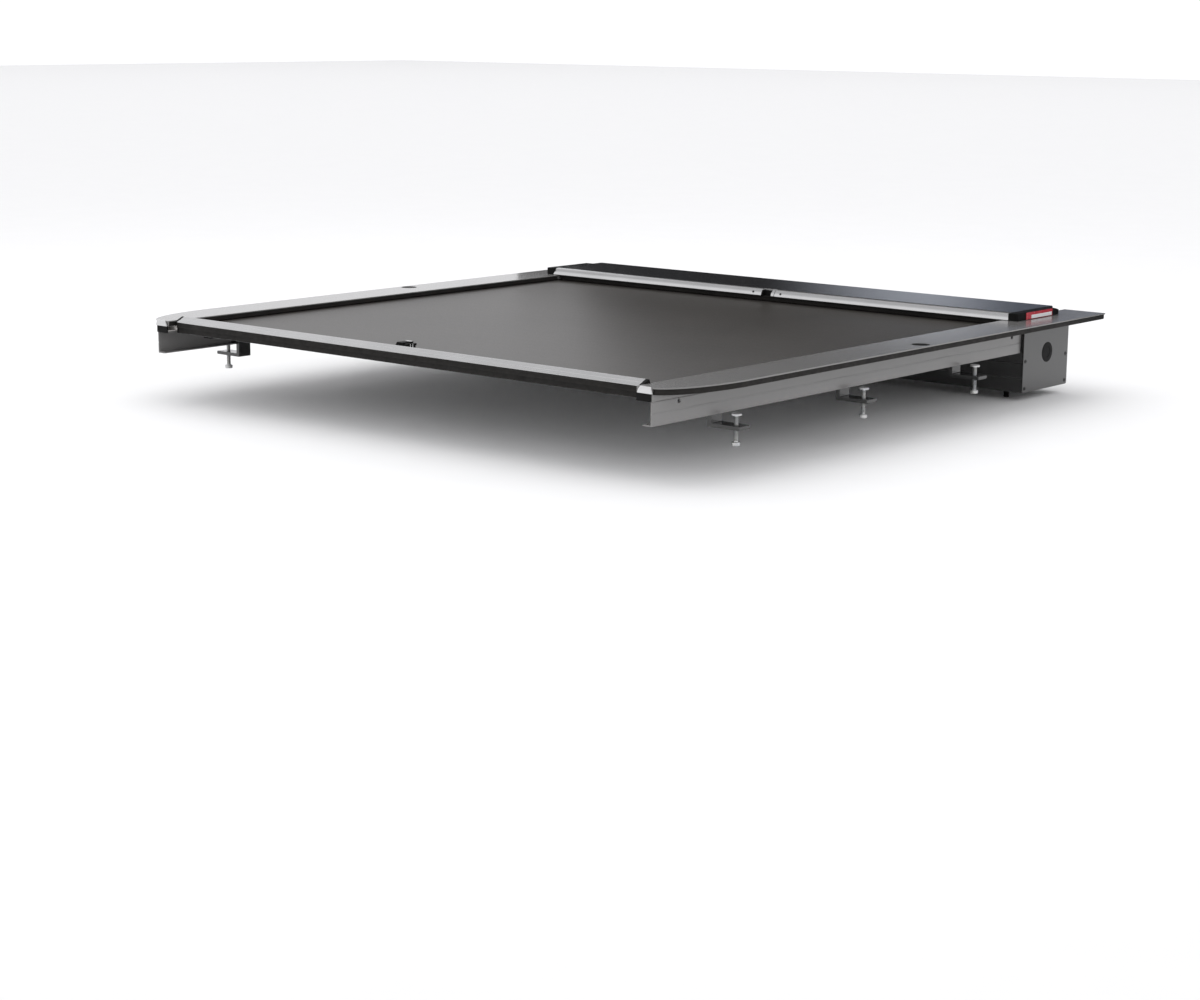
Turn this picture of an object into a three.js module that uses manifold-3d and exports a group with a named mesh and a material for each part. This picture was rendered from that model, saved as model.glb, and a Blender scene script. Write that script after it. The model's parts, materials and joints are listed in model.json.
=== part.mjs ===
// Retractable roll-up tonneau cover for a pickup bed.
// Millimetres. +X to the truck's right, +Y towards the cab, +Z up.
// The origin is on the centre line, at the tailgate end, on the plane where the rails rest on the bed.
// Every section below is drawn in its own plane and extruded along the axis it runs on.

import * as THREE from 'three';
import { mergeVertices } from 'three/addons/utils/BufferGeometryUtils.js';
import Module from 'manifold-3d';

const wasm = await Module();
wasm.setup();

// ---- driving dimensions ----
const GAP = 0.3;                  // left between touching pieces
const OPENING_HALF = 700;         // centre line to a rail's inner wall
const FLANGE_HALF = 812;          // centre line to a flange's outer edge
const FLANGE_TOP = 15;
const SHEET = 3;                  // wall of the aluminium extrusions
const RAIL_REAR = 16;             // tailgate end of the rails
const RAIL_FRONT = 1665;          // cab end of the flanges
const TRACK_FRONT = 1396;         // the track and the leg stop here, ahead of the canister
const CORNER_X = 80;              // the flange's rounded rear corner is a quarter ellipse
const CORNER_Y = 240;
const LEG_OUTER = 738;            // outer face of the rail's leg
const LEG_BOTTOM = -62;
const FOOT_INNER = 716;
const FLOOR_INNER = 704;          // inner edge of the track floor
const TRACK_FLOOR = -10;
const TRACK_LIP = 3;              // lower edge of the inner wall, above the deck
const END_CAP_THICKNESS = 4;
const END_CAP_HEAD = [             // the light head of the rail end cap, seen from the tailgate
  [707, 11.5],
  [711, 16],
  [736, 16],
  [740, 2.5],
];

const DECK_TOP = 1;               // top of the vinyl
const DECK_HALF = 728;
const SKIN_THICKNESS = 1;
const SLAT_THICKNESS = 6.7;
const SLAT_PITCH = 41;
const SLAT_PLATE = 1.4;           // top plate of a slat
const SLAT_RIB = 1.6;
const SLAT_HINGE = 2.4;           // width of the hinge between two slats
const SLAT_SKIN = 0.6;            // what is left of the plate there
const DECK_REAR = 124.5;
const TAIL_END = 1505;            // the deck slopes down from the tracks to here, where it meets the roll
const TAIL_DROP = 18.5;
const DECK_TRAVEL = 1255;         // from shut to fully open

const BAR_HALF = 690;
const BAR_NOSE_Y = 33;
const BAR_NOSE_Z = 12;
const BAR_RIDGE_Y = 55;
const BAR_RIDGE_Z = 22.5;
const BAR_REAR = 40;
const BAR_STEP = 66;              // foot of the ridge's front face
const BAR_FRONT = 124;
const BAR_BOTTOM = -14;
const BAR_CAP = 7.7;
const SHOE_BOTTOM = -7.4;
const SHOE_TOP = 2;

const BARREL_X = -13.5;
const BARREL_Y = 100;
const ROD_Z = -20;
const ROD_RADIUS = 4;
const ROD_REACH = 728;            // the rods' outer ends when unlocked
const CAM_HALF_WIDTH = 6;
const CAM_HALF_LENGTH = 14.5;
const CAM_THICKNESS = 8;
const CAM_TOP = ROD_Z + CAM_THICKNESS / 2;
const BARREL_RADIUS = 6.5;
const BARREL_HOLE = 6.9;
const POD_LEFT = -30;
const POD_RIGHT = -3.6;
const POD_REAR = 84;
const POD_FRONT = 116;
const POD_TOP = 24.5;
const POD_SHOULDER = 14;          // top of the pod's low left edge
const POD_SLOPE = 7;              // how far in the slope over that edge reaches
const TONGUE_BOTTOM = 16.5;       // the catch's tongue slides under the lid's keeper
const TONGUE_REACH = 3;
const CATCH_WIDTH = 9.2;
const GUIDE_X = [640, 662];
const GUIDE_HALF = 12;
const GUIDE_DROP = 8;             // from the rod's centre to the guide's lower face

const LIP_REAR = 1373;
const LIP_FRONT = 1392;
const LID_TOP = 33;
const LID_FRONT = 1582;           // the lid's top ends here and turns down to a ledge at flange level
const LID_CHAMFER = 5;
const LEDGE_FRONT = 1640;
const LID_HALF = 714.7;
const LID_CAP_OUTER = 740;
const LID_SKIRT = 11.3;           // underside of the ledge
const LID_CAP_FRONT = 1584;
const LID_CAP_SWEEP = 24;         // length of an end cap's rounded front corner
const LID_CAP_SLOPE = [           // an end cap's top falls towards the cab: stations along y, heights in z
  [1537, 33],
  [1562, 29.5],
  [1585, 22],
];
const NOTCH_X = [-8.3, 33];       // the lip's notch, which the hold-open catch slides into
const NOTCH_WALL = 3;             // what the notch leaves of the lip
const KEEPER_RIGHT = 22;
const KEEPER_WALL = 2.7;
const CHEEK_GAP = 1.5;            // between the keeper's metal cheek and the notch's right end
const BADGE_Y = [1412, 1534];
const BADGE_Z = [16, 32.4];
const BADGE_THICKNESS = 1.2;

const CANISTER_REAR = 1400;
const CANISTER_FRONT = 1610;
const CANISTER_BOTTOM = -158;
const CANISTER_HALF = 742;
const MOUTH_SILL = -16;
const END_PLATE = 4;
const END_PLATE_TOP = 11.5;
const BACK_FLANGE = 26;           // the canister's front wall turns forward at the top, by this much
const BACK_FLANGE_TOP = 11;
const AXLE_BLOCK_X = [730.3, 741.9];
const DRAIN_X = 680;
const DRAIN_Y = 1440;
const DRAIN_OUTER = 7;
const DRAIN_BORE = 4.5;
const DRAIN_LENGTH = 20;          // below the canister's floor

const ROLLER_Y = 1510;
const ROLLER_Z = -70;
const AXLE_RADIUS = 10;
const TUBE_INNER = 32;
const TUBE_OUTER = 36;
const TUBE_HALF = 722;
const WOUND_OUTER = 44;           // one turn of deck stays on the tube when the cover is shut
const AXLE_BLOCK_HALF = 30;
const AXLE_BLOCK_TOP = 26;        // above the axle's centre
const HUB_X = 711;
const HUB_HALF = 9;
const SPRING_START = -690;
const SPRING_RADIUS = 20;
const SPRING_WIRE = 2.5;
const SPRING_TURNS = 12;
const SPRING_PITCH = 9;

const CLAMP_Y = [250, 700, 1150];
const CLAMP_WIDTH = 36;
const HOOK_INNER = 706;           // the hook rests over the rail's foot, between these
const HOOK_OUTER = 733;
const HOOK_THICKNESS = 9;
const JAW_OUTER = 786;
const JAW_TOP = -84;
const JAW_BOTTOM = -92;
const SCREW_X = 765;
const SCREW_RADIUS = 5;
const SCREW_HEAD = 9;
const SCREW_HEAD_BOTTOM = -126;
const SCREW_HEAD_TOP = -118;
const PAD_RADIUS = 11;
const PAD_BOTTOM = -65;
const PAD_TOP = -60;
const PLUG_Y = 885;
const PLUG_X = 786;
const PLUG_RADIUS = 20;
const PLUG_THICKNESS = 2.4;

// ---- finishes ----
function finish(color, roughness, metalness) {
  return () => new THREE.MeshStandardMaterial({ color, roughness, metalness });
}
const blackAluminium = finish(0x2b2b2d, 0.45, 0.6);
const satinAluminium = finish(0xb9babc, 0.35, 0.8);
const blackPlastic = finish(0x17171a, 0.5, 0.0);
const greyPlastic = finish(0xc9c9c7, 0.45, 0.0);
const rubber = finish(0x1a1815, 0.85, 0.0);
const vinyl = finish(0x4a4947, 0.7, 0.0);
const steel = finish(0x9a9c9f, 0.35, 0.9);
const nylon = finish(0xd8d4c8, 0.5, 0.0);
const redPlastic = finish(0xa01824, 0.35, 0.0);

// ---- building blocks ----
const cover = new THREE.Group();

function add(name, geometry, material) {
  const mesh = new THREE.Mesh(geometry, material());
  mesh.name = name;
  cover.add(mesh);
}

function toShape(points) {
  return new THREE.Shape(points.map(([u, v]) => new THREE.Vector2(u, v)));
}

// A prism between two stations on an axis. The outline is (y, z) for x, (x, z) for y and (x, y) for z.
const X = new THREE.Vector3(1, 0, 0);
const Y = new THREE.Vector3(0, 1, 0);
const Z = new THREE.Vector3(0, 0, 1);
const BASES = {
  x: [Y, Z, X],
  y: [X, Z, Y.clone().negate()],
  z: [X, Y, Z],
};

function prism(axis, outline, from, to) {
  const geometry = new THREE.ExtrudeGeometry(toShape(outline), { depth: to - from, bevelEnabled: false });
  const placement = new THREE.Matrix4().makeBasis(...BASES[axis]);
  const start = axis === 'y' ? Y.clone().multiplyScalar(to) : BASES[axis][2].clone().multiplyScalar(from);
  placement.setPosition(start);
  return geometry.applyMatrix4(placement);
}

function box(x0, x1, y0, y1, z0, z1) {
  const geometry = new THREE.BoxGeometry(x1 - x0, y1 - y0, z1 - z0);
  return geometry.translate((x0 + x1) / 2, (y0 + y1) / 2, (z0 + z1) / 2);
}

// A turned piece. The profile is (radius, distance along the axis) and closes on itself or on the axis.
const TURN_TO = {
  x: new THREE.Matrix4().makeRotationZ(-Math.PI / 2),
  z: new THREE.Matrix4().makeRotationX(Math.PI / 2),
};

function turned(axis, profile, centre, segments) {
  const points = profile.map(([radius, along]) => new THREE.Vector2(radius, along));
  const geometry = new THREE.LatheGeometry(points, segments);
  return geometry.applyMatrix4(TURN_TO[axis]).translate(...centre);
}

function cylinder(axis, radius, from, to, centre, segments = 16) {
  const profile = [[0, from], [radius, from], [radius, to], [0, to]];
  return turned(axis, profile, centre, segments);
}

function ring(axis, inner, outer, from, to, centre, segments = 24) {
  const profile = [[inner, from], [outer, from], [outer, to], [inner, to], [inner, from]];
  return turned(axis, profile, centre, segments);
}

// ---- joining and cutting ----
function toSolid(geometry) {
  const bare = geometry.clone();
  bare.deleteAttribute('normal');
  bare.deleteAttribute('uv');
  const merged = mergeVertices(bare, 1e-3);
  const mesh = new wasm.Mesh({
    numProp: 3,
    vertProperties: new Float32Array(merged.attributes.position.array),
    triVerts: new Uint32Array(merged.index.array),
  });
  return new wasm.Manifold(mesh);
}

function toGeometry(solid) {
  const mesh = solid.getMesh();
  const geometry = new THREE.BufferGeometry();
  geometry.setAttribute('position', new THREE.BufferAttribute(mesh.vertProperties, 3));
  geometry.setIndex(new THREE.BufferAttribute(mesh.triVerts, 1));
  geometry.computeVertexNormals();
  return geometry;
}

function cut(body, ...tools) {
  const result = tools.reduce((solid, tool) => solid.subtract(toSolid(tool)), toSolid(body));
  return toGeometry(result);
}

function common(a, b) {
  return toGeometry(toSolid(a).intersect(toSolid(b)));
}

// Both sides of the truck share their outlines: a side's x values are multiplied by its sign.
const SIDES = [['left', -1], ['right', 1]];

function mirrored(side, outline) {
  return outline.map(([x, v]) => [side * x, v]);
}

function sideBox(side, x0, x1, ...rest) {
  const ends = [side * x0, side * x1].sort((a, b) => a - b);
  return box(...ends, ...rest);
}

// ---- rails ----
// The flange's plan outline, inset from its edge, with the rounded rear corner as a quarter ellipse.
const CORNER_STEPS = 12;

function cornerArc(inset, startX) {
  const a = CORNER_X - inset;
  const b = CORNER_Y - RAIL_REAR - inset;
  const centreX = FLANGE_HALF - CORNER_X;
  const last = Math.acos(Math.max(0, startX - centreX) / a);
  const points = [];
  for (let step = 0; step <= CORNER_STEPS; step += 1) {
    const angle = (last * step) / CORNER_STEPS;
    points.push([centreX + a * Math.cos(angle), CORNER_Y - b * Math.sin(angle)]);
  }
  return points;
}

function railSection() {
  const legInner = LEG_OUTER - SHEET;
  const flangeUnder = FLANGE_TOP - SHEET;
  const wallOuter = OPENING_HALF + SHEET;
  return [
    [OPENING_HALF, FLANGE_TOP],
    [FLANGE_HALF, FLANGE_TOP],
    [FLANGE_HALF, flangeUnder],
    [LEG_OUTER, flangeUnder],
    [LEG_OUTER, LEG_BOTTOM],
    [FOOT_INNER, LEG_BOTTOM],
    [FOOT_INNER, LEG_BOTTOM + SHEET],
    [legInner, LEG_BOTTOM + SHEET],
    [legInner, TRACK_FLOOR - SHEET],
    [FLOOR_INNER, TRACK_FLOOR - SHEET],
    [FLOOR_INNER, TRACK_FLOOR],
    [legInner, TRACK_FLOOR],
    [legInner, flangeUnder],
    [wallOuter, flangeUnder],
    [wallOuter, TRACK_LIP],
    [OPENING_HALF, TRACK_LIP],
  ];
}

function rail(side) {
  const plan = [
    [OPENING_HALF - 1, RAIL_FRONT],
    [FLANGE_HALF, RAIL_FRONT],
    ...cornerArc(0, 0),
    [OPENING_HALF - 1, RAIL_REAR],
  ];
  const bar = prism('y', mirrored(side, railSection()), RAIL_REAR, RAIL_FRONT);
  const trim = prism('z', mirrored(side, plan), LEG_BOTTOM - 1, FLANGE_TOP + 1);
  const canisterRoom = sideBox(side, OPENING_HALF - 5, LEG_OUTER + 5, TRACK_FRONT, RAIL_FRONT + 5,
    LEG_BOTTOM - 5, FLANGE_TOP - SHEET);
  const plugHole = cylinder('z', PLUG_RADIUS + 0.4, -5, 5, [side * PLUG_X, PLUG_Y, FLANGE_TOP], 24);
  // The rods lock the cover in two places: shut, and fully open.
  const strikeHoles = [BARREL_Y, BARREL_Y + DECK_TRAVEL].map((y) => (
    cylinder('x', ROD_RADIUS + 1, -8, 8, [side * LEG_OUTER, y, ROD_Z], 12)));
  return cut(common(bar, trim), canisterRoom, plugHole, ...strikeHoles);
}

function flangeSeal(side) {
  const inset = 3;
  const width = 12;
  const inner = LEG_OUTER + 0.5;
  const outline = [
    [FLANGE_HALF - inset, RAIL_FRONT],
    ...cornerArc(inset, inner),
    ...cornerArc(inset + width, inner).reverse(),
    [FLANGE_HALF - inset - width, RAIL_FRONT],
  ];
  return prism('z', mirrored(side, outline), 0, FLANGE_TOP - SHEET - GAP);
}

// The cap's head lies across the flange's end, and its body closes the track below.
function endCapOutline() {
  const shoulder = END_CAP_HEAD[3][1];
  return [
    ...END_CAP_HEAD,
    [LEG_OUTER - 1, shoulder],
    [LEG_OUTER - 1, TRACK_FLOOR - SHEET],
    [OPENING_HALF + 1, TRACK_FLOOR - SHEET],
    [OPENING_HALF + 1, shoulder],
    [END_CAP_HEAD[0][0] - 4, shoulder],
  ];
}

function addRail(name, side) {
  add(`${name}_rail`, rail(side), blackAluminium);
  const liner = sideBox(side, OPENING_HALF + 5, LEG_OUTER - SHEET - 1, RAIL_REAR + 1, TRACK_FRONT - 1,
    TRACK_FLOOR + GAP, TRACK_FLOOR + GAP + 2);
  add(`${name}_track_liner`, liner, nylon);
  add(`${name}_flange_seal`, flangeSeal(side), rubber);
  const cap = prism('y', mirrored(side, endCapOutline()), RAIL_REAR - END_CAP_THICKNESS, RAIL_REAR - GAP);
  add(`${name}_rail_end_cap`, cap, greyPlastic);
  const plugBase = FLANGE_TOP - SHEET;
  const plug = cylinder('z', PLUG_RADIUS, 0, PLUG_THICKNESS, [side * PLUG_X, PLUG_Y, plugBase], 24);
  add(`${name}_flange_plug`, plug, blackPlastic);
}

// ---- clamps ----
function clampHook(side, y) {
  const footTop = LEG_BOTTOM + SHEET + GAP;
  const outline = [
    [HOOK_INNER, footTop + HOOK_THICKNESS],
    [HOOK_OUTER, footTop + HOOK_THICKNESS],
    [HOOK_OUTER, footTop],
    [FOOT_INNER - GAP, footTop],
    [FOOT_INNER - GAP, JAW_TOP],
    [JAW_OUTER, JAW_TOP],
    [JAW_OUTER, JAW_BOTTOM],
    [HOOK_INNER, JAW_BOTTOM],
  ];
  const hook = prism('y', mirrored(side, outline), y - CLAMP_WIDTH / 2, y + CLAMP_WIDTH / 2);
  return cut(hook, cylinder('z', SCREW_RADIUS + 0.5, -10, 10, [side * SCREW_X, y, JAW_BOTTOM + 4], 12));
}

function clampScrew(side, y) {
  const profile = [
    [0, SCREW_HEAD_BOTTOM],
    [SCREW_HEAD, SCREW_HEAD_BOTTOM],
    [SCREW_HEAD, SCREW_HEAD_TOP],
    [SCREW_RADIUS, SCREW_HEAD_TOP],
    [SCREW_RADIUS, PAD_BOTTOM],
    [PAD_RADIUS, PAD_BOTTOM],
    [PAD_RADIUS, PAD_TOP],
    [0, PAD_TOP],
  ];
  return turned('z', profile, [side * SCREW_X, y, 0], 12);
}

function addClamps(name, side) {
  CLAMP_Y.forEach((y, index) => {
    add(`${name}_clamp_${index + 1}`, clampHook(side, y), blackAluminium);
    add(`${name}_clamp_screw_${index + 1}`, clampScrew(side, y), steel);
  });
}

// ---- deck ----
// The deck runs level in the tracks, then slopes down over the mouth's sill to the roll.
function deckOutline(top, thickness) {
  const bottom = top - thickness;
  return [
    [DECK_REAR, bottom],
    [DECK_REAR, top],
    [TRACK_FRONT, top],
    [TAIL_END, top - TAIL_DROP],
    [TAIL_END, bottom - TAIL_DROP],
    [TRACK_FRONT, bottom],
  ];
}

// Each slat is a thin plate on three ribs, and the plate thins to a hinge between two slats.
function slatUnderside(front, top, bottom) {
  const plate = top - SLAT_PLATE;
  const outline = [];
  const channel = (SLAT_PITCH - SLAT_HINGE - 3 * SLAT_RIB) / 2;
  let y = front;
  for (let rib = 0; rib < 3; rib += 1) {
    outline.push([y, bottom], [y - SLAT_RIB, bottom]);
    y -= SLAT_RIB;
    if (rib < 2) {
      outline.push([y, plate], [y - channel, plate]);
      y -= channel;
    }
  }
  outline.push([y, top - SLAT_SKIN], [y - SLAT_HINGE, top - SLAT_SKIN]);
  return outline;
}

function addDeck() {
  const slatTop = DECK_TOP - SKIN_THICKNESS - GAP;
  const slatBottom = slatTop - SLAT_THICKNESS;
  const slats = deckOutline(slatTop, SLAT_THICKNESS);
  const count = Math.floor((TRACK_FRONT - DECK_REAR - SLAT_HINGE) / SLAT_PITCH);
  for (let slat = 0; slat < count; slat += 1) {
    slats.push(...slatUnderside(TRACK_FRONT - SLAT_HINGE - SLAT_PITCH * slat, slatTop, slatBottom));
  }
  const lastEdge = TRACK_FRONT - SLAT_HINGE - SLAT_PITCH * count;
  slats.push([lastEdge, slatBottom]);
  add('slat_deck', prism('x', slats, -DECK_HALF, DECK_HALF), satinAluminium);
  const skin = deckOutline(DECK_TOP, SKIN_THICKNESS);
  add('vinyl_skin', prism('x', skin, -DECK_HALF, DECK_HALF), vinyl);
}

// ---- leading bar ----
const BAR_SECTION = [
  [BAR_NOSE_Y, BAR_NOSE_Z],
  [BAR_RIDGE_Y, BAR_RIDGE_Z],
  [BAR_RIDGE_Y + 2, BAR_RIDGE_Z],
  [BAR_STEP, DECK_TOP],
  [BAR_FRONT, DECK_TOP],
  [BAR_FRONT, BAR_BOTTOM],
  [BAR_REAR, BAR_BOTTOM],
  [BAR_REAR, BAR_NOSE_Z - SHEET],
  [BAR_NOSE_Y, BAR_NOSE_Z - SHEET],
];

function barHollows() {
  const floor = BAR_BOTTOM + SHEET;
  const nose = [
    [BAR_REAR + SHEET, floor],
    [BAR_STEP - SHEET, floor],
    [BAR_STEP - SHEET, DECK_TOP - SHEET],
    [BAR_RIDGE_Y, BAR_RIDGE_Z - 2 * SHEET],
    [BAR_REAR + SHEET, BAR_NOSE_Z],
  ];
  const shelf = [
    [BAR_STEP, floor],
    [BAR_FRONT - SHEET, floor],
    [BAR_FRONT - SHEET, DECK_TOP - SHEET],
    [BAR_STEP, DECK_TOP - SHEET],
  ];
  return [nose, shelf];
}

// A lip that bears on the tailgate's top edge, on a carrier strip down the bar's rear face.
function tailgateSealSection() {
  const carrier = BAR_REAR - GAP;
  const strip = 1.7;
  return [
    [carrier, BAR_NOSE_Z - SHEET - GAP],
    [carrier - 4.7, BAR_NOSE_Z - SHEET - GAP],
    [carrier - 4.7, 4],
    [carrier - 8.7, 0.5],
    [carrier - 8.7, -1],
    [carrier - strip, -2],
    [carrier - strip, BAR_BOTTOM + 0.5],
    [carrier, BAR_BOTTOM + 0.5],
  ];
}

function addLeadingBar() {
  const bar = prism('x', BAR_SECTION, -BAR_HALF, BAR_HALF);
  const hollows = barHollows().map((outline) => prism('x', outline, -BAR_HALF - 1, BAR_HALF + 1));
  const barrelHole = cylinder('z', BARREL_HOLE, -25, 25, [BARREL_X, BARREL_Y, 0]);
  add('leading_bar', cut(bar, ...hollows, barrelHole), satinAluminium);
  add('tailgate_seal', prism('x', tailgateSealSection(), -BAR_HALF, BAR_HALF), rubber);
  SIDES.forEach(([name, side]) => {
    const capEnds = [side * (BAR_HALF + GAP), side * (BAR_HALF + GAP + BAR_CAP)].sort((a, b) => a - b);
    add(`${name}_bar_end_cap`, prism('x', BAR_SECTION, ...capEnds), blackPlastic);
    add(`${name}_slide_shoe`, sideBox(side, BAR_HALF + 2 * GAP + BAR_CAP, DECK_HALF + 3,
      BAR_REAR, BAR_FRONT - 1, SHOE_BOTTOM, SHOE_TOP), nylon);
    const block = sideBox(side, ...GUIDE_X, BARREL_Y - GUIDE_HALF, BARREL_Y + GUIDE_HALF,
      ROD_Z - GUIDE_DROP, BAR_BOTTOM - GAP);
    const bore = cylinder('x', ROD_RADIUS + 0.5, -30, 30, [side * GUIDE_X[0], BARREL_Y, ROD_Z], 12);
    add(`${name}_rod_guide`, cut(block, bore), blackPlastic);
  });
}

// ---- latch ----
function latchPod() {
  const outline = [
    [POD_LEFT, DECK_TOP + GAP],
    [POD_RIGHT, DECK_TOP + GAP],
    [POD_RIGHT, POD_TOP],
    [POD_LEFT + POD_SLOPE, POD_TOP],
    [POD_LEFT, POD_SHOULDER],
  ];
  const shell = prism('y', outline, POD_REAR, POD_FRONT);
  return cut(shell, cylinder('z', BARREL_HOLE, -5, 30, [BARREL_X, BARREL_Y, 0]));
}

// The catch's thumb piece slides along the pod's side and its tongue enters the lip's notch.
function holdOpenCatch() {
  const thumbTop = POD_TOP - 0.5;
  const outline = [
    [POD_REAR, DECK_TOP + GAP],
    [POD_FRONT - TONGUE_REACH, DECK_TOP + GAP],
    [POD_FRONT - TONGUE_REACH, TONGUE_BOTTOM],
    [POD_FRONT, TONGUE_BOTTOM],
    [POD_FRONT, thumbTop - 2],
    [POD_REAR + 4, thumbTop],
    [POD_REAR, thumbTop - 4],
  ];
  return prism('x', outline, POD_RIGHT + 0.4, POD_RIGHT + CATCH_WIDTH);
}

function camArm() {
  const end = CAM_HALF_LENGTH - CAM_HALF_WIDTH;
  const outline = [];
  for (let step = 0; step < 16; step += 1) {
    const angle = (Math.PI * 2 * (step + 0.5)) / 16;
    const x = BARREL_X + CAM_HALF_WIDTH * Math.cos(angle);
    const y = BARREL_Y + CAM_HALF_WIDTH * Math.sin(angle) + end * Math.sign(Math.sin(angle));
    outline.push([x, y]);
  }
  return prism('z', outline, CAM_TOP - CAM_THICKNESS, CAM_TOP);
}

function addLatch() {
  add('latch_pod', latchPod(), blackPlastic);
  add('hold_open_catch', holdOpenCatch(), blackPlastic);
  const barrelTop = POD_TOP + 0.6;
  add('key_barrel', cylinder('z', BARREL_RADIUS, CAM_TOP + GAP, barrelTop, [BARREL_X, BARREL_Y, 0]), steel);
  add('lock_cam', camArm(), steel);
  const clear = CAM_HALF_WIDTH + 0.4;
  const rodLine = [0, BARREL_Y, ROD_Z];
  add('right_lock_rod', cylinder('x', ROD_RADIUS, BARREL_X + clear, ROD_REACH, rodLine, 12), steel);
  add('left_lock_rod', cylinder('x', ROD_RADIUS, -ROD_REACH, BARREL_X - clear, rodLine, 12), steel);
}

// ---- canister and lid ----
function canisterShell() {
  const inner = CANISTER_BOTTOM + SHEET;
  const outline = [
    [CANISTER_REAR, MOUTH_SILL],
    [CANISTER_REAR, CANISTER_BOTTOM],
    [CANISTER_FRONT, CANISTER_BOTTOM],
    [CANISTER_FRONT, BACK_FLANGE_TOP - SHEET],
    [CANISTER_FRONT + BACK_FLANGE, BACK_FLANGE_TOP - SHEET],
    [CANISTER_FRONT + BACK_FLANGE, BACK_FLANGE_TOP],
    [CANISTER_FRONT - SHEET, BACK_FLANGE_TOP],
    [CANISTER_FRONT - SHEET, inner],
    [CANISTER_REAR + SHEET, inner],
    [CANISTER_REAR + SHEET, MOUTH_SILL],
  ];
  const shell = prism('x', outline, -CANISTER_HALF, CANISTER_HALF);
  const drains = SIDES.map(([, side]) => (
    cylinder('z', DRAIN_OUTER + 0.5, -10, 10, [side * DRAIN_X, DRAIN_Y, CANISTER_BOTTOM], 12)));
  return cut(shell, ...drains);
}

function addCanister() {
  add('canister_shell', canisterShell(), blackAluminium);
  SIDES.forEach(([name, side]) => {
    const plate = CANISTER_HALF + GAP;
    add(`${name}_canister_end_plate`, sideBox(side, plate, plate + END_PLATE, CANISTER_REAR, CANISTER_FRONT,
      CANISTER_BOTTOM, END_PLATE_TOP), blackAluminium);
    const block = sideBox(side, ...AXLE_BLOCK_X, ROLLER_Y - AXLE_BLOCK_HALF, ROLLER_Y + AXLE_BLOCK_HALF,
      ROLLER_Z - AXLE_BLOCK_HALF, ROLLER_Z + AXLE_BLOCK_TOP);
    const bore = cylinder('x', AXLE_RADIUS + 0.4, -15, 15, [side * AXLE_BLOCK_X[0], ROLLER_Y, ROLLER_Z]);
    add(`${name}_axle_block`, cut(block, bore), blackPlastic);
    const drain = [side * DRAIN_X, DRAIN_Y, CANISTER_BOTTOM];
    const spigot = ring('z', DRAIN_BORE, DRAIN_OUTER, -DRAIN_LENGTH, 6, drain, 12);
    add(`${name}_drain_spigot`, spigot, blackPlastic);
  });
}

const LIP_SECTION = [
  [LIP_REAR, FLANGE_TOP + GAP],
  [LIP_REAR, 18.5],
  [LIP_REAR + 9, 28.5],
  [LIP_FRONT - 4, LID_TOP - 1],
  [LIP_FRONT, LID_TOP],
  [LIP_FRONT, FLANGE_TOP + GAP],
];

function addLid() {
  const lidRear = LIP_FRONT + GAP;
  const ledgeTop = LID_SKIRT + SHEET;
  const outline = [
    [lidRear, LID_TOP],
    [LID_FRONT - LID_CHAMFER, LID_TOP],
    [LID_FRONT, LID_TOP - LID_CHAMFER],
    [LID_FRONT, ledgeTop],
    [LEDGE_FRONT, ledgeTop],
    [LEDGE_FRONT, LID_SKIRT],
    [LID_FRONT - SHEET, LID_SKIRT],
    [LID_FRONT - SHEET, LID_TOP - LID_CHAMFER - 1],
    [LID_FRONT - LID_CHAMFER - 1, LID_TOP - SHEET],
    [lidRear, LID_TOP - SHEET],
  ];
  const flangeRoom = SIDES.map(([, side]) => sideBox(side, OPENING_HALF - 0.5, LID_HALF + 5,
    LID_FRONT - 10, LEDGE_FRONT + 5, LID_SKIRT - 5, FLANGE_TOP + GAP));
  add('canister_lid', cut(prism('x', outline, -LID_HALF, LID_HALF), ...flangeRoom), blackAluminium);
  const notchFront = LIP_FRONT - NOTCH_WALL;
  const notch = box(...NOTCH_X, LIP_REAR - 5, notchFront, 0, 50);
  add('lid_front_lip', cut(prism('x', LIP_SECTION, -LID_HALF, LID_HALF), notch), satinAluminium);

  const keeperLeft = NOTCH_X[0] + GAP;
  const keeperRear = LIP_REAR + 4;
  const keeper = [
    [keeperLeft, keeperRear],
    [keeperLeft, notchFront - GAP],
    [KEEPER_RIGHT, notchFront - GAP],
    [KEEPER_RIGHT, keeperRear],
    [KEEPER_RIGHT - KEEPER_WALL, keeperRear],
    [KEEPER_RIGHT - KEEPER_WALL, notchFront - NOTCH_WALL],
    [keeperLeft + KEEPER_WALL, notchFront - NOTCH_WALL],
    [keeperLeft + KEEPER_WALL, keeperRear],
  ];
  add('latch_keeper', prism('z', keeper, FLANGE_TOP + GAP, LID_TOP - 4), blackPlastic);
  const cheek = box(KEEPER_RIGHT + GAP, NOTCH_X[1] - CHEEK_GAP, LIP_REAR + 2, notchFront - GAP,
    FLANGE_TOP + GAP, LID_TOP - 3);
  add('keeper_cheek', cheek, satinAluminium);
  const wiper = [[LIP_REAR + 7, 15], [LIP_REAR + 14, 15], [LIP_REAR + 12, 2.2], [LIP_REAR + 10, 2.2]];
  add('mouth_wiper', prism('x', wiper, 1 - OPENING_HALF, OPENING_HALF - 1), rubber);

  SIDES.forEach(([name, side]) => add(`${name}_lid_end_cap`, lidEndCap(side), blackPlastic));
  const badge = box(LID_CAP_OUTER + GAP, LID_CAP_OUTER + GAP + BADGE_THICKNESS, ...BADGE_Y, ...BADGE_Z);
  add('lid_badge_plate', badge, redPlastic);
}

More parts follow.
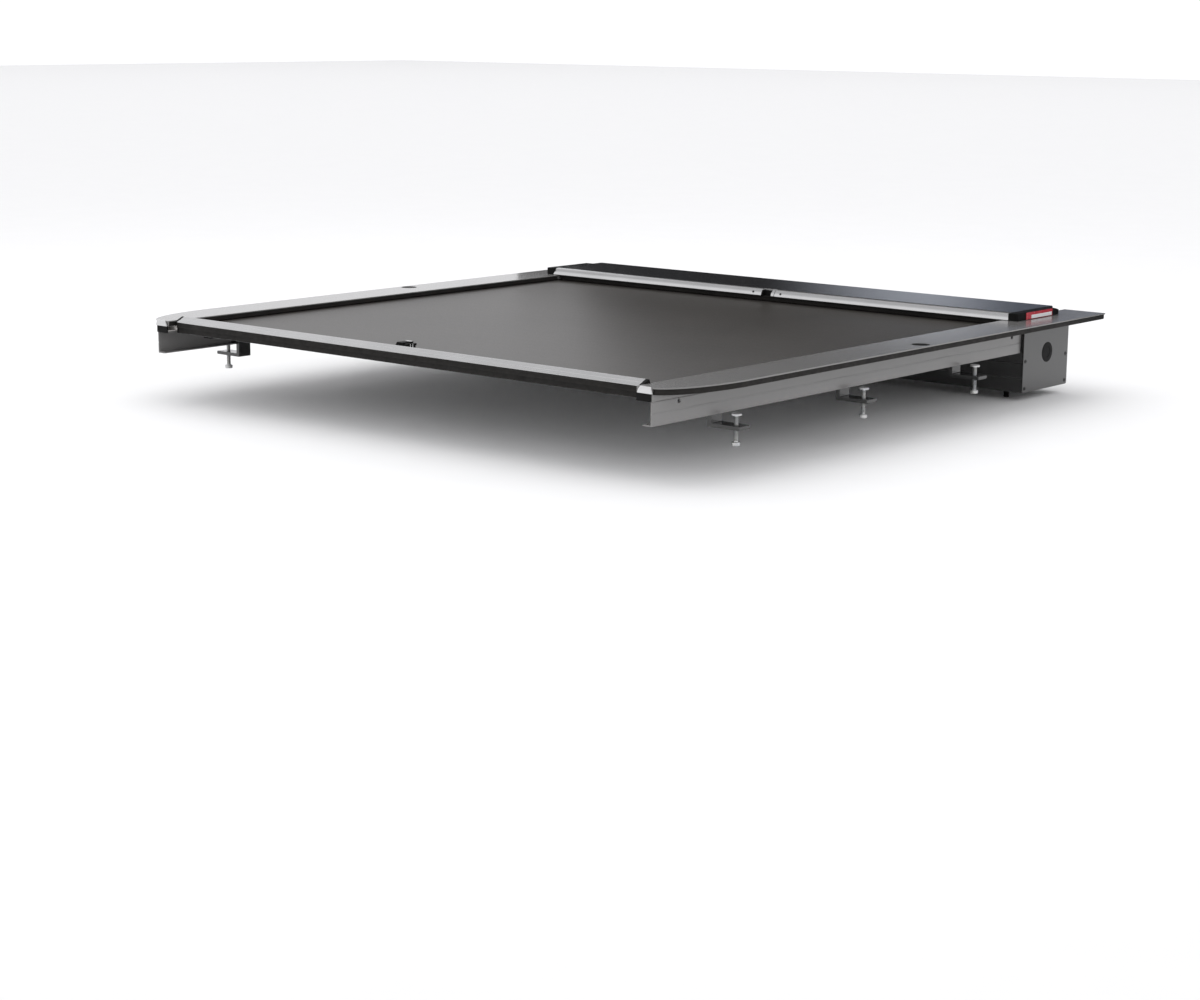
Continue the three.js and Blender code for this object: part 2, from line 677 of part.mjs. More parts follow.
function lidEndCap(side) {
  const inner = LID_HALF + GAP;
  const radius = LID_CAP_OUTER - inner;
  const outline = [
    [inner, LID_CAP_FRONT],
    [inner, LIP_REAR],
    [LID_CAP_OUTER - 4, LIP_REAR],
    [LID_CAP_OUTER, LIP_REAR + 4],
  ];
  const steps = 6;
  for (let step = 0; step < steps; step += 1) {
    const angle = (Math.PI / 2) * (step / steps);
    const y = LID_CAP_FRONT - LID_CAP_SWEEP * (1 - Math.sin(angle));
    outline.push([inner + radius * Math.cos(angle), y]);
  }
  const base = FLANGE_TOP + GAP;
  const profile = [
    [LID_CAP_SLOPE[2][0], base],
    [LIP_REAR - 1, base],
    [LIP_REAR - 1, LID_TOP],
    ...LID_CAP_SLOPE,
  ];
  const plan = prism('z', mirrored(side, outline), base, LID_TOP);
  return common(plan, prism('x', profile, -LID_CAP_OUTER, LID_CAP_OUTER));
}

// ---- roller ----
function torsionSpring() {
  const stepsPerTurn = 10;
  const steps = SPRING_TURNS * stepsPerTurn;
  const points = [];
  for (let step = 0; step <= steps; step += 1) {
    const angle = (2 * Math.PI * step) / stepsPerTurn;
    const x = SPRING_START + (SPRING_PITCH * step) / stepsPerTurn;
    const y = ROLLER_Y + SPRING_RADIUS * Math.cos(angle);
    const z = ROLLER_Z + SPRING_RADIUS * Math.sin(angle);
    points.push(new THREE.Vector3(x, y, z));
  }
  const wire = [];
  for (let corner = 0; corner < 6; corner += 1) {
    const angle = (Math.PI * corner) / 3;
    wire.push([SPRING_WIRE * Math.cos(angle), SPRING_WIRE * Math.sin(angle)]);
  }
  const path = new THREE.CatmullRomCurve3(points);
  return new THREE.ExtrudeGeometry(toShape(wire), { steps, extrudePath: path });
}

function addRoller() {
  const centre = [0, ROLLER_Y, ROLLER_Z];
  add('roller_axle', cylinder('x', AXLE_RADIUS, -AXLE_BLOCK_X[1], AXLE_BLOCK_X[1], centre), steel);
  add('roller_tube', ring('x', TUBE_INNER, TUBE_OUTER, -TUBE_HALF, TUBE_HALF, centre), satinAluminium);
  add('wound_deck', ring('x', TUBE_OUTER + 0.4, WOUND_OUTER, -DECK_HALF, DECK_HALF, centre), vinyl);
  add('torsion_spring', torsionSpring(), steel);
  SIDES.forEach(([name, side]) => {
    const hubCentre = [side * HUB_X, ROLLER_Y, ROLLER_Z];
    const hub = ring('x', AXLE_RADIUS + 0.4, TUBE_INNER - 0.4, -HUB_HALF, HUB_HALF, hubCentre);
    add(`${name}_roller_hub`, hub, nylon);
  });
}

SIDES.forEach(([name, side]) => {
  addRail(name, side);
  addClamps(name, side);
});
addDeck();
addLeadingBar();
addLatch();
addCanister();
addLid();
addRoller();

export default cover;
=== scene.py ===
import json
import math

import bmesh
import bpy
from mathutils import Matrix, Vector


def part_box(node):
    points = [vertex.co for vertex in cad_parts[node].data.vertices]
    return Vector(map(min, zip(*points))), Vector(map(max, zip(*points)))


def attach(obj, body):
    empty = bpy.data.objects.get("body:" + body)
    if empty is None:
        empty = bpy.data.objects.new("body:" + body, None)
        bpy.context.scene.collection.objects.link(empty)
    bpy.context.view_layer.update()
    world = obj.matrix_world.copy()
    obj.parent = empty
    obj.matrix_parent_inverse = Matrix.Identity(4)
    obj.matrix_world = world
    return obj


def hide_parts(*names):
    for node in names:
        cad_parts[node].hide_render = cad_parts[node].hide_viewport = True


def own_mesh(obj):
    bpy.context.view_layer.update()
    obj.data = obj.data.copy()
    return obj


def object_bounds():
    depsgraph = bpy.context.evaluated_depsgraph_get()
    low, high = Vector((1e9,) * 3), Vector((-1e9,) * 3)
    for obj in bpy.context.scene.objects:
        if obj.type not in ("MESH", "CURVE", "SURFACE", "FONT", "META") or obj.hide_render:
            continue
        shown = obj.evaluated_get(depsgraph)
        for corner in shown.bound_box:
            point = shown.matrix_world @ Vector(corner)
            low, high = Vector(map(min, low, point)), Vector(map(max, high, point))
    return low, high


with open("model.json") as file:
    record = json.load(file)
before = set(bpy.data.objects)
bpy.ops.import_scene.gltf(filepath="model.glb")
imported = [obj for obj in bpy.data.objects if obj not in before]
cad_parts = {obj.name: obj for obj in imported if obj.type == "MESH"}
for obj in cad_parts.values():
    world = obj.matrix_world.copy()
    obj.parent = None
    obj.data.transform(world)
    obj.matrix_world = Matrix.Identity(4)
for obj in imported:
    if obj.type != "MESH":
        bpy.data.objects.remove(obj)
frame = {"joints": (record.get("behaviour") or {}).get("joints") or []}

cad_low, cad_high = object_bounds()

MM = 0.001
SIDES = (("left", -1), ("right", 1))
SHARP_ANGLE = 35


# ---------------------------------------------------------------- places, in millimetres, from the frame
def box_mm(node):
    low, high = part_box(node)
    return [c / MM for c in low], [c / MM for c in high]


def middle(low, high):
    return [(a + b) / 2 for a, b in zip(low, high)]


rail_low, rail_high = box_mm("right_rail")
OPENING_HALF = rail_low[0]
FLANGE_HALF = rail_high[0]
FLANGE_TOP = rail_high[2]
LEG_BOTTOM = rail_low[2]
RAIL_FRONT = rail_high[1]
RAIL_REAR = rail_low[1]
SHEET = 3
EDGE_ROUND = 0.9
UNDER_FLANGE = FLANGE_TOP - SHEET
CORNER_X = 80
CORNER_Y = 240
LEG_OUTER = 738
LEG_INNER = LEG_OUTER - SHEET
FOOT_INNER = 716
TRACK_INNER = 704
TRACK_FLOOR = -10
TRACK_LIP = 3
PLUG_HOLE_RADIUS = 20.4
STRIKE_HOLE_RADIUS = 5
SEAL_INSET = 3
SEAL_WIDTH = 12

skin_low, skin_high = box_mm("vinyl_skin")
DECK_TOP = skin_high[2]
DECK_HALF = skin_high[0]
DECK_REAR = skin_low[1]
TAIL_END = skin_high[1]
TAIL_DROP = DECK_TOP - 1 - skin_low[2]
TRACK_FRONT = box_mm("right_track_liner")[1][1] + 1
SLAT_PITCH = 41
SLAT_GAP = 2.4
SLAT_HEIGHT = 6.7
SLAT_TOP = DECK_TOP - 1.3
VINYL_THICKNESS = 1

bar_low, bar_high = box_mm("leading_bar")
BAR_HALF = bar_high[0]
BAR_NOSE_Y = bar_low[1]
BAR_FRONT = bar_high[1]
BAR_BOTTOM = bar_low[2]
BAR_RIDGE_Z = bar_high[2]
BAR_NOSE_Z = 12
BAR_RIDGE_Y = BAR_NOSE_Y + 22
BAR_STEP = BAR_NOSE_Y + 33
BAR_REAR = BAR_NOSE_Y + 7

lip_low, lip_high = box_mm("lid_front_lip")
lid_low, lid_high = box_mm("canister_lid")
shell_low, shell_high = box_mm("canister_shell")
pod_low, pod_high = box_mm("latch_pod")
catch_low, catch_high = box_mm("hold_open_catch")
cap_high = box_mm("right_lid_end_cap")[1]
LID_FRONT = cap_high[1] - 2
LIP_SCREW_Z = 23
keeper_low, keeper_high = box_mm("latch_keeper")
barrel_low, barrel_high = box_mm("key_barrel")
BARREL = middle(barrel_low, barrel_high)[:2]
BARREL_HOLE_RADIUS = 7
POD_HOLE_RADIUS = 6.9
RIB_FIRST = catch_low[1] + 12
RIB_PITCH = 7
RIB_WIDTH = 1.8
CLAMP_REACH = (706, 786)
CLAMP_NECK = (715.7, 733)
CLAMP_HEAD = 9
CLAMP_JAW = 8
AXLE_RADIUS = 10
ROD_RADIUS = 4
TUBE_RADII = (32, 36)
DECK_TRAVEL = [j for j in frame["joints"] if j["name"] == "cover_slide"][0]["range_m"][1] / MM


# ---------------------------------------------------------------- mesh building
def even_shading(piece):
    """Keeps flat faces flat beside their rounded edges."""
    modifier = piece.modifiers.new("even_shading", "WEIGHTED_NORMAL")
    modifier.keep_sharp = True


def make_object(name, bm, body, material, replaces=(), smooth_angle=SHARP_ANGLE, flat_faces=True):
    bmesh.ops.remove_doubles(bm, verts=bm.verts, dist=1e-3)
    bmesh.ops.recalc_face_normals(bm, faces=bm.faces)
    mesh = bpy.data.meshes.new(name)
    bm.transform(Matrix.Scale(MM, 4))
    bm.to_mesh(mesh)
    bm.free()
    for polygon in mesh.polygons:
        polygon.use_smooth = True
    mesh.set_sharp_from_angle(angle=math.radians(smooth_angle))
    piece = bpy.data.objects.new(name, mesh)
    bpy.context.scene.collection.objects.link(piece)
    mesh.materials.append(material)
    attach(piece, body)
    if replaces:
        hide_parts(*replaces)
    if flat_faces:
        even_shading(piece)
    return piece


def place(axis, u, v, w):
    """A point of an outline at station w: (y, z) for an x prism, (x, z) for y and (x, y) for z."""
    return {"x": (w, u, v), "y": (u, w, v), "z": (u, v, w)}[axis]


def rounded(outline, radius, steps=3):
    """The outline with each corner turned into an arc of about that radius."""
    points = []
    count = len(outline)
    for index in range(count):
        before = Vector(outline[index - 1])
        corner = Vector(outline[index])
        after = Vector(outline[(index + 1) % count])
        back = before - corner
        ahead = after - corner
        reach = min(radius, back.length * 0.45, ahead.length * 0.45)
        start = corner + back.normalized() * reach
        end = corner + ahead.normalized() * reach
        for step in range(steps + 1):
            t = step / steps
            point = start * (1 - t) ** 2 + corner * 2 * t * (1 - t) + end * t ** 2
            points.append((point.x, point.y))
    return points


def sweep(bm, axis, stations):
    """Joins outlines of equal length, each at its own station, into a closed tube with capped ends."""
    loops = [[bm.verts.new(place(axis, u, v, w)) for u, v in outline] for w, outline in stations]
    for near, far in zip(loops, loops[1:]):
        for index in range(len(near)):
            after = (index + 1) % len(near)
            bm.faces.new((near[index], near[after], far[after], far[index]))
    bm.faces.new(loops[0])
    bm.faces.new(loops[-1])


def prism(bm, axis, outline, start, end):
    sweep(bm, axis, [(start, outline), (end, outline)])


def bevelled(bm, width, segments=2, angle=30):
    bmesh.ops.remove_doubles(bm, verts=bm.verts, dist=1e-3)
    bmesh.ops.recalc_face_normals(bm, faces=bm.faces)
    sharp = [e for e in bm.edges if len(e.link_faces) == 2 and e.calc_face_angle(0) > math.radians(angle)]
    bmesh.ops.bevel(bm, geom=sharp, offset=width, segments=segments, profile=0.6, affect="EDGES",
                    clamp_overlap=True)


def block(bm, low, high):
    outline = [(low[0], low[1]), (high[0], low[1]), (high[0], high[1]), (low[0], high[1])]
    prism(bm, "z", outline, low[2], high[2])


def make_block(name, low, high, bevel, body, material, replaces=(), segments=2):
    bm = bmesh.new()
    block(bm, low, high)
    bevelled(bm, bevel, segments)
    return make_object(name, bm, body, material, replaces)


def turned(bm, axis, profile, centre, segments=40):
    """A lathe piece: the profile is (radius, distance along the axis) from one end to the other."""
    rings = []
    for radius, along in profile:
        ring = []
        for step in range(segments if radius > 0 else 1):
            angle = 2 * math.pi * step / segments
            u, v = radius * math.cos(angle), radius * math.sin(angle)
            x, y, z = place(axis, u, v, along)
            ring.append(bm.verts.new((x + centre[0], y + centre[1], z + centre[2])))
        rings.append(ring)
    for near, far in zip(rings, rings[1:]):
        for step in range(segments):
            after = (step + 1) % segments
            corners = [near[step % len(near)], near[after % len(near)],
                       far[after % len(far)], far[step % len(far)]]
            unique = list(dict.fromkeys(corners))
            if len(unique) > 2:
                bm.faces.new(unique)


def ring_profile(inner, outer, start, end, chamfer=0.6):
    return [
        (inner, start + chamfer), (inner + chamfer, start), (outer - chamfer, start),
        (outer, start + chamfer), (outer, end - chamfer), (outer - chamfer, end), (inner + chamfer, end),
        (inner, end - chamfer), (inner, start + chamfer),
    ]


def mirrored(side, outline):
    return [(side * x, v) for x, v in outline]


def cut_hole(piece, cutter_bm):
    """Cuts the piece, in place, with a closed mesh given in millimetres."""
    mesh = bpy.data.meshes.new("cutter")
    bmesh.ops.recalc_face_normals(cutter_bm, faces=cutter_bm.faces)
    cutter_bm.transform(Matrix.Scale(MM, 4))
    cutter_bm.to_mesh(mesh)
    cutter_bm.free()
    cutter = bpy.data.objects.new("cutter", mesh)
    bpy.context.scene.collection.objects.link(cutter)
    piece.modifiers.clear()
    modifier = piece.modifiers.new("cut", "BOOLEAN")
    modifier.object = cutter
    modifier.solver = "EXACT"
    modifier.operation = "DIFFERENCE"
    evaluated = piece.evaluated_get(bpy.context.evaluated_depsgraph_get())
    result = bpy.data.meshes.new_from_object(evaluated)
    piece.modifiers.clear()
    piece.data = result
    bpy.data.objects.remove(cutter)
    result.set_sharp_from_angle(angle=math.radians(SHARP_ANGLE))
    even_shading(piece)


def drill(piece, axis, radius, start, end, centre, segments=40):
    """Cuts a round hole from start to end along the axis, both measured from the centre."""
    hole = bmesh.new()
    turned(hole, axis, [(0, start), (radius, start), (radius, end), (0, end)], centre, segments)
    cut_hole(piece, hole)


# ---------------------------------------------------------------- materials
def new_material(name):
    material = bpy.data.materials.new(name)
    material.use_nodes = True
    tree = material.node_tree
    shader = tree.nodes["Principled BSDF"]
    place_node = tree.nodes.new("ShaderNodeTexCoord")
    return material, tree, shader, place_node.outputs["Object"]


def scaled(tree, coordinates, scale):
    mapping = tree.nodes.new("ShaderNodeMapping")
    mapping.inputs["Scale"].default_value = scale
    tree.links.new(coordinates, mapping.inputs["Vector"])
    return mapping.outputs["Vector"]


def noise(tree, vector, scale, detail=4):
    node = tree.nodes.new("ShaderNodeTexNoise")
    node.inputs["Scale"].default_value = scale
    node.inputs["Detail"].default_value = detail
    node.inputs["Roughness"].default_value = 0.55
    tree.links.new(vector, node.inputs["Vector"])
    return node.outputs["Fac"]


def cells(tree, vector, scale):
    node = tree.nodes.new("ShaderNodeTexVoronoi")
    node.feature = "SMOOTH_F1"
    node.inputs["Scale"].default_value = scale
    tree.links.new(vector, node.inputs["Vector"])
    return node.outputs["Distance"]


def spread(tree, value, low, high):
    """Maps the middle of a 0 to 1 pattern to the range low to high."""
    node = tree.nodes.new("ShaderNodeMapRange")
    node.inputs["From Min"].default_value = 0.3
    node.inputs["From Max"].default_value = 0.7
    node.inputs["To Min"].default_value = low
    node.inputs["To Max"].default_value = high
    tree.links.new(value, node.inputs["Value"])
    return node.outputs["Result"]


def tint(tree, value, dark, light):
    node = tree.nodes.new("ShaderNodeMix")
    node.data_type = "RGBA"
    node.inputs["A"].default_value = (*dark, 1)
    node.inputs["B"].default_value = (*light, 1)
    tree.links.new(spread(tree, value, 0, 1), node.inputs["Factor"])
    return node.outputs["Result"]


def bump(tree, height, distance, under=None):
    node = tree.nodes.new("ShaderNodeBump")
    node.inputs["Distance"].default_value = distance
    node.inputs["Strength"].default_value = 1.0
    tree.links.new(height, node.inputs["Height"])
    if under is not None:
        tree.links.new(under, node.inputs["Normal"])
    return node.outputs["Normal"]


def surface(name, dark, light, rough, metallic=0.0, specular=0.5, grain=600, grain_depth=0.00002,
            patch=8, stretch=(1, 1, 1), coat=0.0, coat_rough=0.2, cell=0, cell_depth=0.0):
    """A finish with patchy colour and roughness and a fine grain; moulded skins have cells as well."""
    material, tree, shader, where = new_material(name)
    vector = scaled(tree, where, stretch)
    patches = noise(tree, where, patch, detail=3)
    fine = noise(tree, vector, grain, detail=3)
    tree.links.new(tint(tree, patches, dark, light), shader.inputs["Base Color"])
    tree.links.new(spread(tree, noise(tree, vector, grain / 9), *rough), shader.inputs["Roughness"])
    normal = bump(tree, fine, grain_depth)
    if cell:
        normal = bump(tree, cells(tree, where, cell), cell_depth, under=normal)
    tree.links.new(normal, shader.inputs["Normal"])
    shader.inputs["Metallic"].default_value = metallic
    shader.inputs["Specular IOR Level"].default_value = specular
    shader.inputs["Coat Weight"].default_value = coat
    shader.inputs["Coat Roughness"].default_value = coat_rough
    return material


def grey(value, warm=0.0):
    return (value * (1 + warm), value, value * (1 - warm))


powder_coat = surface("powder_coat", grey(0.155, 0.02), grey(0.165, 0.02), (0.25, 0.27), specular=0.5,
                      coat=0.5, coat_rough=0.18, grain=2600, grain_depth=0.000001)
lid_coat = surface("lid_coat", grey(0.016), grey(0.020), (0.22, 0.24), specular=0.5, coat=0.5,
                   coat_rough=0.14, grain=2600, grain_depth=0.000001)
satin_metal = surface("satin_metal", grey(0.54), grey(0.60), (0.22, 0.30), metallic=1.0, grain=900,
                      grain_depth=0.000002, stretch=(0.01, 1, 1))
mill_metal = surface("mill_metal", grey(0.42), grey(0.55), (0.30, 0.45), metallic=1.0, grain=500,
                     grain_depth=0.00001, stretch=(0.03, 1, 1))
zinc = surface("zinc_plate", (0.46, 0.47, 0.49), (0.60, 0.60, 0.58), (0.22, 0.38), metallic=1.0, grain=400,
               patch=60, grain_depth=0.00001)
dark_screw = surface("black_screw", grey(0.03), grey(0.05), (0.3, 0.4), metallic=0.8, grain=400, patch=60,
                     grain_depth=0.00001)
moulded = surface("moulded_black", grey(0.005), grey(0.008), (0.45, 0.55), specular=0.08, grain=1500,
                  grain_depth=0.000003, cell=1800, cell_depth=0.000008)
# Light grey, for the rail end cap heads and the catch ribs, and for the painted highlight along the latch
# pod's top.
grey_and_painted_highlight = surface("grey_and_painted_highlight", grey(0.55), grey(0.62), (0.35, 0.5), grain=1500, grain_depth=0.00002)
# Black rubber for the seals, also used for the painted shade strips on the rails' inner walls.
rubber_and_painted_shade = surface("rubber_and_painted_shade", grey(0.008, 0.1), grey(0.014, 0.1), (0.55, 0.75), specular=0.2,
                      grain=900, grain_depth=0.00002, patch=30)
nylon = surface("nylon", grey(0.55, 0.04), grey(0.66, 0.04), (0.4, 0.5), grain=800, grain_depth=0.00002)
vinyl = surface("grained_vinyl", grey(0.024, 0.12), grey(0.032, 0.12), (0.40, 0.46), specular=0.6, grain=2600,
                grain_depth=0.00001, patch=3, cell=700, cell_depth=0.00003)
badge_red = surface("badge_red", (0.42, 0.010, 0.022), (0.50, 0.014, 0.030), (0.2, 0.3), coat=0.6, grain=300,
                    grain_depth=0.000005)
badge_white = surface("badge_white", grey(0.74), grey(0.80), (0.25, 0.35), coat=0.4, grain=300,
                      grain_depth=0.000005)


# ---------------------------------------------------------------- rails
def flange_edge(y, inset=0.0):
    """The flange's outer edge: straight along the truck, and a quarter ellipse at the tailgate."""
    if y >= CORNER_Y:
        return FLANGE_HALF - inset
    share = min(1.0, (CORNER_Y - y) / (CORNER_Y - RAIL_REAR - inset))
    return FLANGE_HALF - CORNER_X + (CORNER_X - inset) * math.sqrt(1 - share ** 2)


def corner_stations(inset, inner, steps=28):
    """Stations from the rounded corner's tip to its start, close together where it turns."""
    stations = []
    for step in range(steps + 1):
        y = CORNER_Y - (CORNER_Y - RAIL_REAR - inset) * math.cos(math.pi / 2 * step / steps)
        stations.append((y, max(inner, flange_edge(y, inset))))
    return stations


def rail_section(edge):
    """Flange, leg with its foot, and the track that the deck runs in."""
    groove_depth = 0.9
    return rounded([
        (OPENING_HALF, FLANGE_TOP),
        (edge, FLANGE_TOP),
        (edge, UNDER_FLANGE),
        (LEG_OUTER, UNDER_FLANGE),
        *grooves((LEG_OUTER, UNDER_FLANGE), (LEG_OUTER, LEG_BOTTOM), 2, groove_depth, (-1, 0)),
        (LEG_OUTER, LEG_BOTTOM),
        (FOOT_INNER, LEG_BOTTOM),
        (FOOT_INNER, LEG_BOTTOM + SHEET),
        (LEG_INNER, LEG_BOTTOM + SHEET),
        (LEG_INNER, TRACK_FLOOR - SHEET),
        (TRACK_INNER, TRACK_FLOOR - SHEET),
        (TRACK_INNER, TRACK_FLOOR),
        (LEG_INNER, TRACK_FLOOR),
        (LEG_INNER, UNDER_FLANGE),
        (OPENING_HALF + SHEET, UNDER_FLANGE),
        (OPENING_HALF + SHEET, TRACK_LIP),
        (OPENING_HALF, TRACK_LIP),
    ], EDGE_ROUND)


def add_rail(name, side):
    bm = bmesh.new()
    stations = [(y, mirrored(side, rail_section(max(LEG_OUTER + 1, edge))))
                for y, edge in corner_stations(0, LEG_OUTER + 1)]
    stations.append((TRACK_FRONT, mirrored(side, rail_section(FLANGE_HALF))))
    sweep(bm, "y", stations)
    rail = make_object(f"{name}_rail_body", bm, "root", powder_coat, [f"{name}_rail"])
    plug_low, plug_high = box_mm(f"{name}_flange_plug")
    plug = middle(plug_low, plug_high)
    drill(rail, "z", PLUG_HOLE_RADIUS, -8, 8, (plug[0], plug[1], FLANGE_TOP), 48)
    rod_z = middle(*box_mm(f"{name}_lock_rod"))[2]
    for y in (BARREL[1], BARREL[1] + DECK_TRAVEL):
        drill(rail, "x", STRIKE_HOLE_RADIUS, -8, 8, (side * LEG_OUTER, y, rod_z), 32)

    bm = bmesh.new()
    ahead = rounded([(OPENING_HALF, FLANGE_TOP), (FLANGE_HALF, FLANGE_TOP), (FLANGE_HALF, UNDER_FLANGE),
                     (OPENING_HALF, UNDER_FLANGE)], EDGE_ROUND)
    prism(bm, "y", mirrored(side, ahead), TRACK_FRONT, RAIL_FRONT)
    make_object(f"{name}_rail_nose", bm, "root", powder_coat)

    bm = bmesh.new()
    profile = [(0, -2.2), (19.4, -2.2), (20, -1.6), (20, -0.4), (19.5, 0), (17.2, 0), (16.4, -0.9),
               (13, -0.9), (12.4, -0.5), (0, -0.5)]
    turned(bm, "z", profile, (plug[0], plug[1], plug_high[2]), 48)
    make_object(f"{name}_plug_cap", bm, "root", moulded, [f"{name}_flange_plug"])

    add_seal(name, side)
    add_rail_end(name, side)

    # A thin black strip over the rail's inner wall: painted shade, which darkens the wall as shadow would.
    bm = bmesh.new()
    ends = sorted((side * (OPENING_HALF - 0.7), side * OPENING_HALF))
    block(bm, (ends[0], RAIL_REAR + 2, TRACK_LIP + 0.4), (ends[1], lip_low[1] - 1, FLANGE_TOP - 2.2))
    make_object(f"{name}_wall_shade_strip", bm, "root", rubber_and_painted_shade)


def add_rail_end(name, side):
    """A light sloped head on a black body, over the open end of the rail."""
    low, high = box_mm(f"{name}_rail_end_cap")
    shoulder = 2.5
    head = [(LEG_OUTER - 35, shoulder), (LEG_OUTER - 31, high[2] - 4.5), (LEG_OUTER - 27, high[2]),
            (LEG_OUTER - 2, high[2]), (LEG_OUTER + 2, shoulder)]
    bm = bmesh.new()
    prism(bm, "y", mirrored(side, head), low[1], high[1])
    bevelled(bm, 0.8)
    make_object(f"{name}_end_cap_head", bm, "root", grey_and_painted_highlight, [f"{name}_rail_end_cap"])
    ends = sorted((side * (OPENING_HALF + 1), side * (LEG_OUTER - 1)))
    make_block(f"{name}_end_cap_body", (ends[0], low[1] + 0.6, low[2]), (ends[1], high[1], shoulder), 0.8,
               "root", moulded)


def add_seal(name, side):
    """A rubber strip with a rounded outer lower edge, which follows the flange round its corner."""
    top = UNDER_FLANGE - 0.2
    beside_leg = LEG_OUTER + 0.6
    full_width = SEAL_INSET + SEAL_WIDTH
    stations = []
    for y, edge in corner_stations(SEAL_INSET, LEG_OUTER + 3):
        inner = max(beside_leg, flange_edge(y, full_width)) if y > RAIL_REAR + full_width else beside_leg
        stations.append((y, inner, edge))
    stations.append((RAIL_FRONT, FLANGE_HALF - full_width, FLANGE_HALF - SEAL_INSET))
    bm = bmesh.new()
    sweep(bm, "y", [
        (y, mirrored(side, rounded([(inner, top), (edge, top), (edge, 2), (edge - 2, 0), (inner, 0)], 0.8)))
        for y, inner, edge in stations
    ])
    make_object(f"{name}_bed_seal", bm, "root", rubber_and_painted_shade, [f"{name}_flange_seal"])


# ---------------------------------------------------------------- deck
def add_deck():
    """The vinyl is one sheet over the slats; a faint ripple shows where each slat ends."""
    rows_per_slat = 8
    column_count = 24
    underside = 0.05
    ripple, ripple_width = 0.10, 0.07
    rows = []
    y = DECK_REAR
    while y < TRACK_FRONT - 1e-6:
        rows.append(y)
        y += SLAT_PITCH / rows_per_slat
    rows.append(TRACK_FRONT)
    columns = [-DECK_HALF + 2 * DECK_HALF * step / column_count for step in range(column_count + 1)]

    def height(y):
        phase = ((TRACK_FRONT - y) / SLAT_PITCH) % 1.0
        return DECK_TOP - 0.12 - ripple * math.exp(-((min(phase, 1 - phase)) / ripple_width) ** 2)

    bm = bmesh.new()
    top = [[bm.verts.new((x, y, height(y))) for x in columns] for y in rows]
    low = [[bm.verts.new((x, y, underside)) for x in columns] for y in rows]
    for r in range(len(rows) - 1):
        for c in range(len(columns) - 1):
            bm.faces.new((top[r][c], top[r][c + 1], top[r + 1][c + 1], top[r + 1][c]))
            bm.faces.new((low[r][c], low[r + 1][c], low[r + 1][c + 1], low[r][c + 1]))
        for c in (0, len(columns) - 1):
            bm.faces.new((top[r][c], top[r + 1][c], low[r + 1][c], low[r][c]))
    for r in (0, len(rows) - 1):
        for c in range(len(columns) - 1):
            bm.faces.new((top[r][c], low[r][c], low[r][c + 1], top[r][c + 1]))
    skin = make_object("deck_vinyl", bm, "root", vinyl, ["vinyl_skin"], smooth_angle=60,
                       flat_faces=False)
    length = TRACK_FRONT - DECK_REAR

    bm = bmesh.new()
    count = int((length - SLAT_GAP) / SLAT_PITCH)
    for index in range(count):
        front = TRACK_FRONT - SLAT_GAP - SLAT_PITCH * index
        add_slat(bm, front, front - SLAT_PITCH + SLAT_GAP)
    add_slat(bm, TRACK_FRONT - SLAT_GAP - SLAT_PITCH * count, DECK_REAR)
    slats = make_object("deck_slats", bm, "root", mill_metal, ["slat_deck"],
                        flat_faces=False)

    for piece in (skin, slats):
        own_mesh(piece)

    for label, material, slot, top_z, thickness in (
            ("deck_vinyl_tail", vinyl, "vinyl", DECK_TOP, VINYL_THICKNESS),
            ("deck_slats_tail", mill_metal, "satin_aluminium", SLAT_TOP, SLAT_HEIGHT)):
        bm = bmesh.new()
        outline = [(TRACK_FRONT, top_z), (TAIL_END, top_z - TAIL_DROP),
                   (TAIL_END, top_z - TAIL_DROP - thickness), (TRACK_FRONT, top_z - thickness)]
        prism(bm, "x", outline, -DECK_HALF, DECK_HALF)
        make_object(label, bm, "root", material)


def add_slat(bm, front, rear):
    """A slat with a hooked front edge that hangs on the next one."""
    top, bottom = SLAT_TOP, SLAT_TOP - SLAT_HEIGHT
    hook_depth, hook_reach = 2.4, 1.6
    outline = [
        (rear, top), (front, top), (front, top - hook_depth), (front - hook_reach, top - hook_depth),
        (front - hook_reach, bottom + 0.8), (front - 2.6, bottom), (rear + 1.2, bottom), (rear, bottom + 1.2),
    ]
    prism(bm, "x", outline, -DECK_HALF + 2, DECK_HALF - 2)


# ---------------------------------------------------------------- leading bar
def bar_outline(shelf_top, groove=True):
    """Nose, slope with one fine groove, ridge, and the shelf that the vinyl lies on."""
    slope = (BAR_RIDGE_Z - BAR_NOSE_Z) / (BAR_RIDGE_Y - BAR_NOSE_Y)

    def on_slope(y, depth=0.0):
        return (y, BAR_NOSE_Z + slope * (y - BAR_NOSE_Y) - depth)

    line = [on_slope(BAR_NOSE_Y + 10), on_slope(BAR_NOSE_Y + 10.3, 0.9), on_slope(BAR_NOSE_Y + 11.3, 0.9),
            on_slope(BAR_NOSE_Y + 11.6)] if groove else []
    return rounded([
        (BAR_NOSE_Y, BAR_NOSE_Z), *line, (BAR_RIDGE_Y, BAR_RIDGE_Z), (BAR_RIDGE_Y + 2, BAR_RIDGE_Z),
        (BAR_STEP, shelf_top), (BAR_FRONT, shelf_top), (BAR_FRONT, BAR_BOTTOM), (BAR_REAR, BAR_BOTTOM),
        (BAR_REAR, BAR_NOSE_Z - SHEET), (BAR_NOSE_Y, BAR_NOSE_Z - 1),
    ], 0.5)


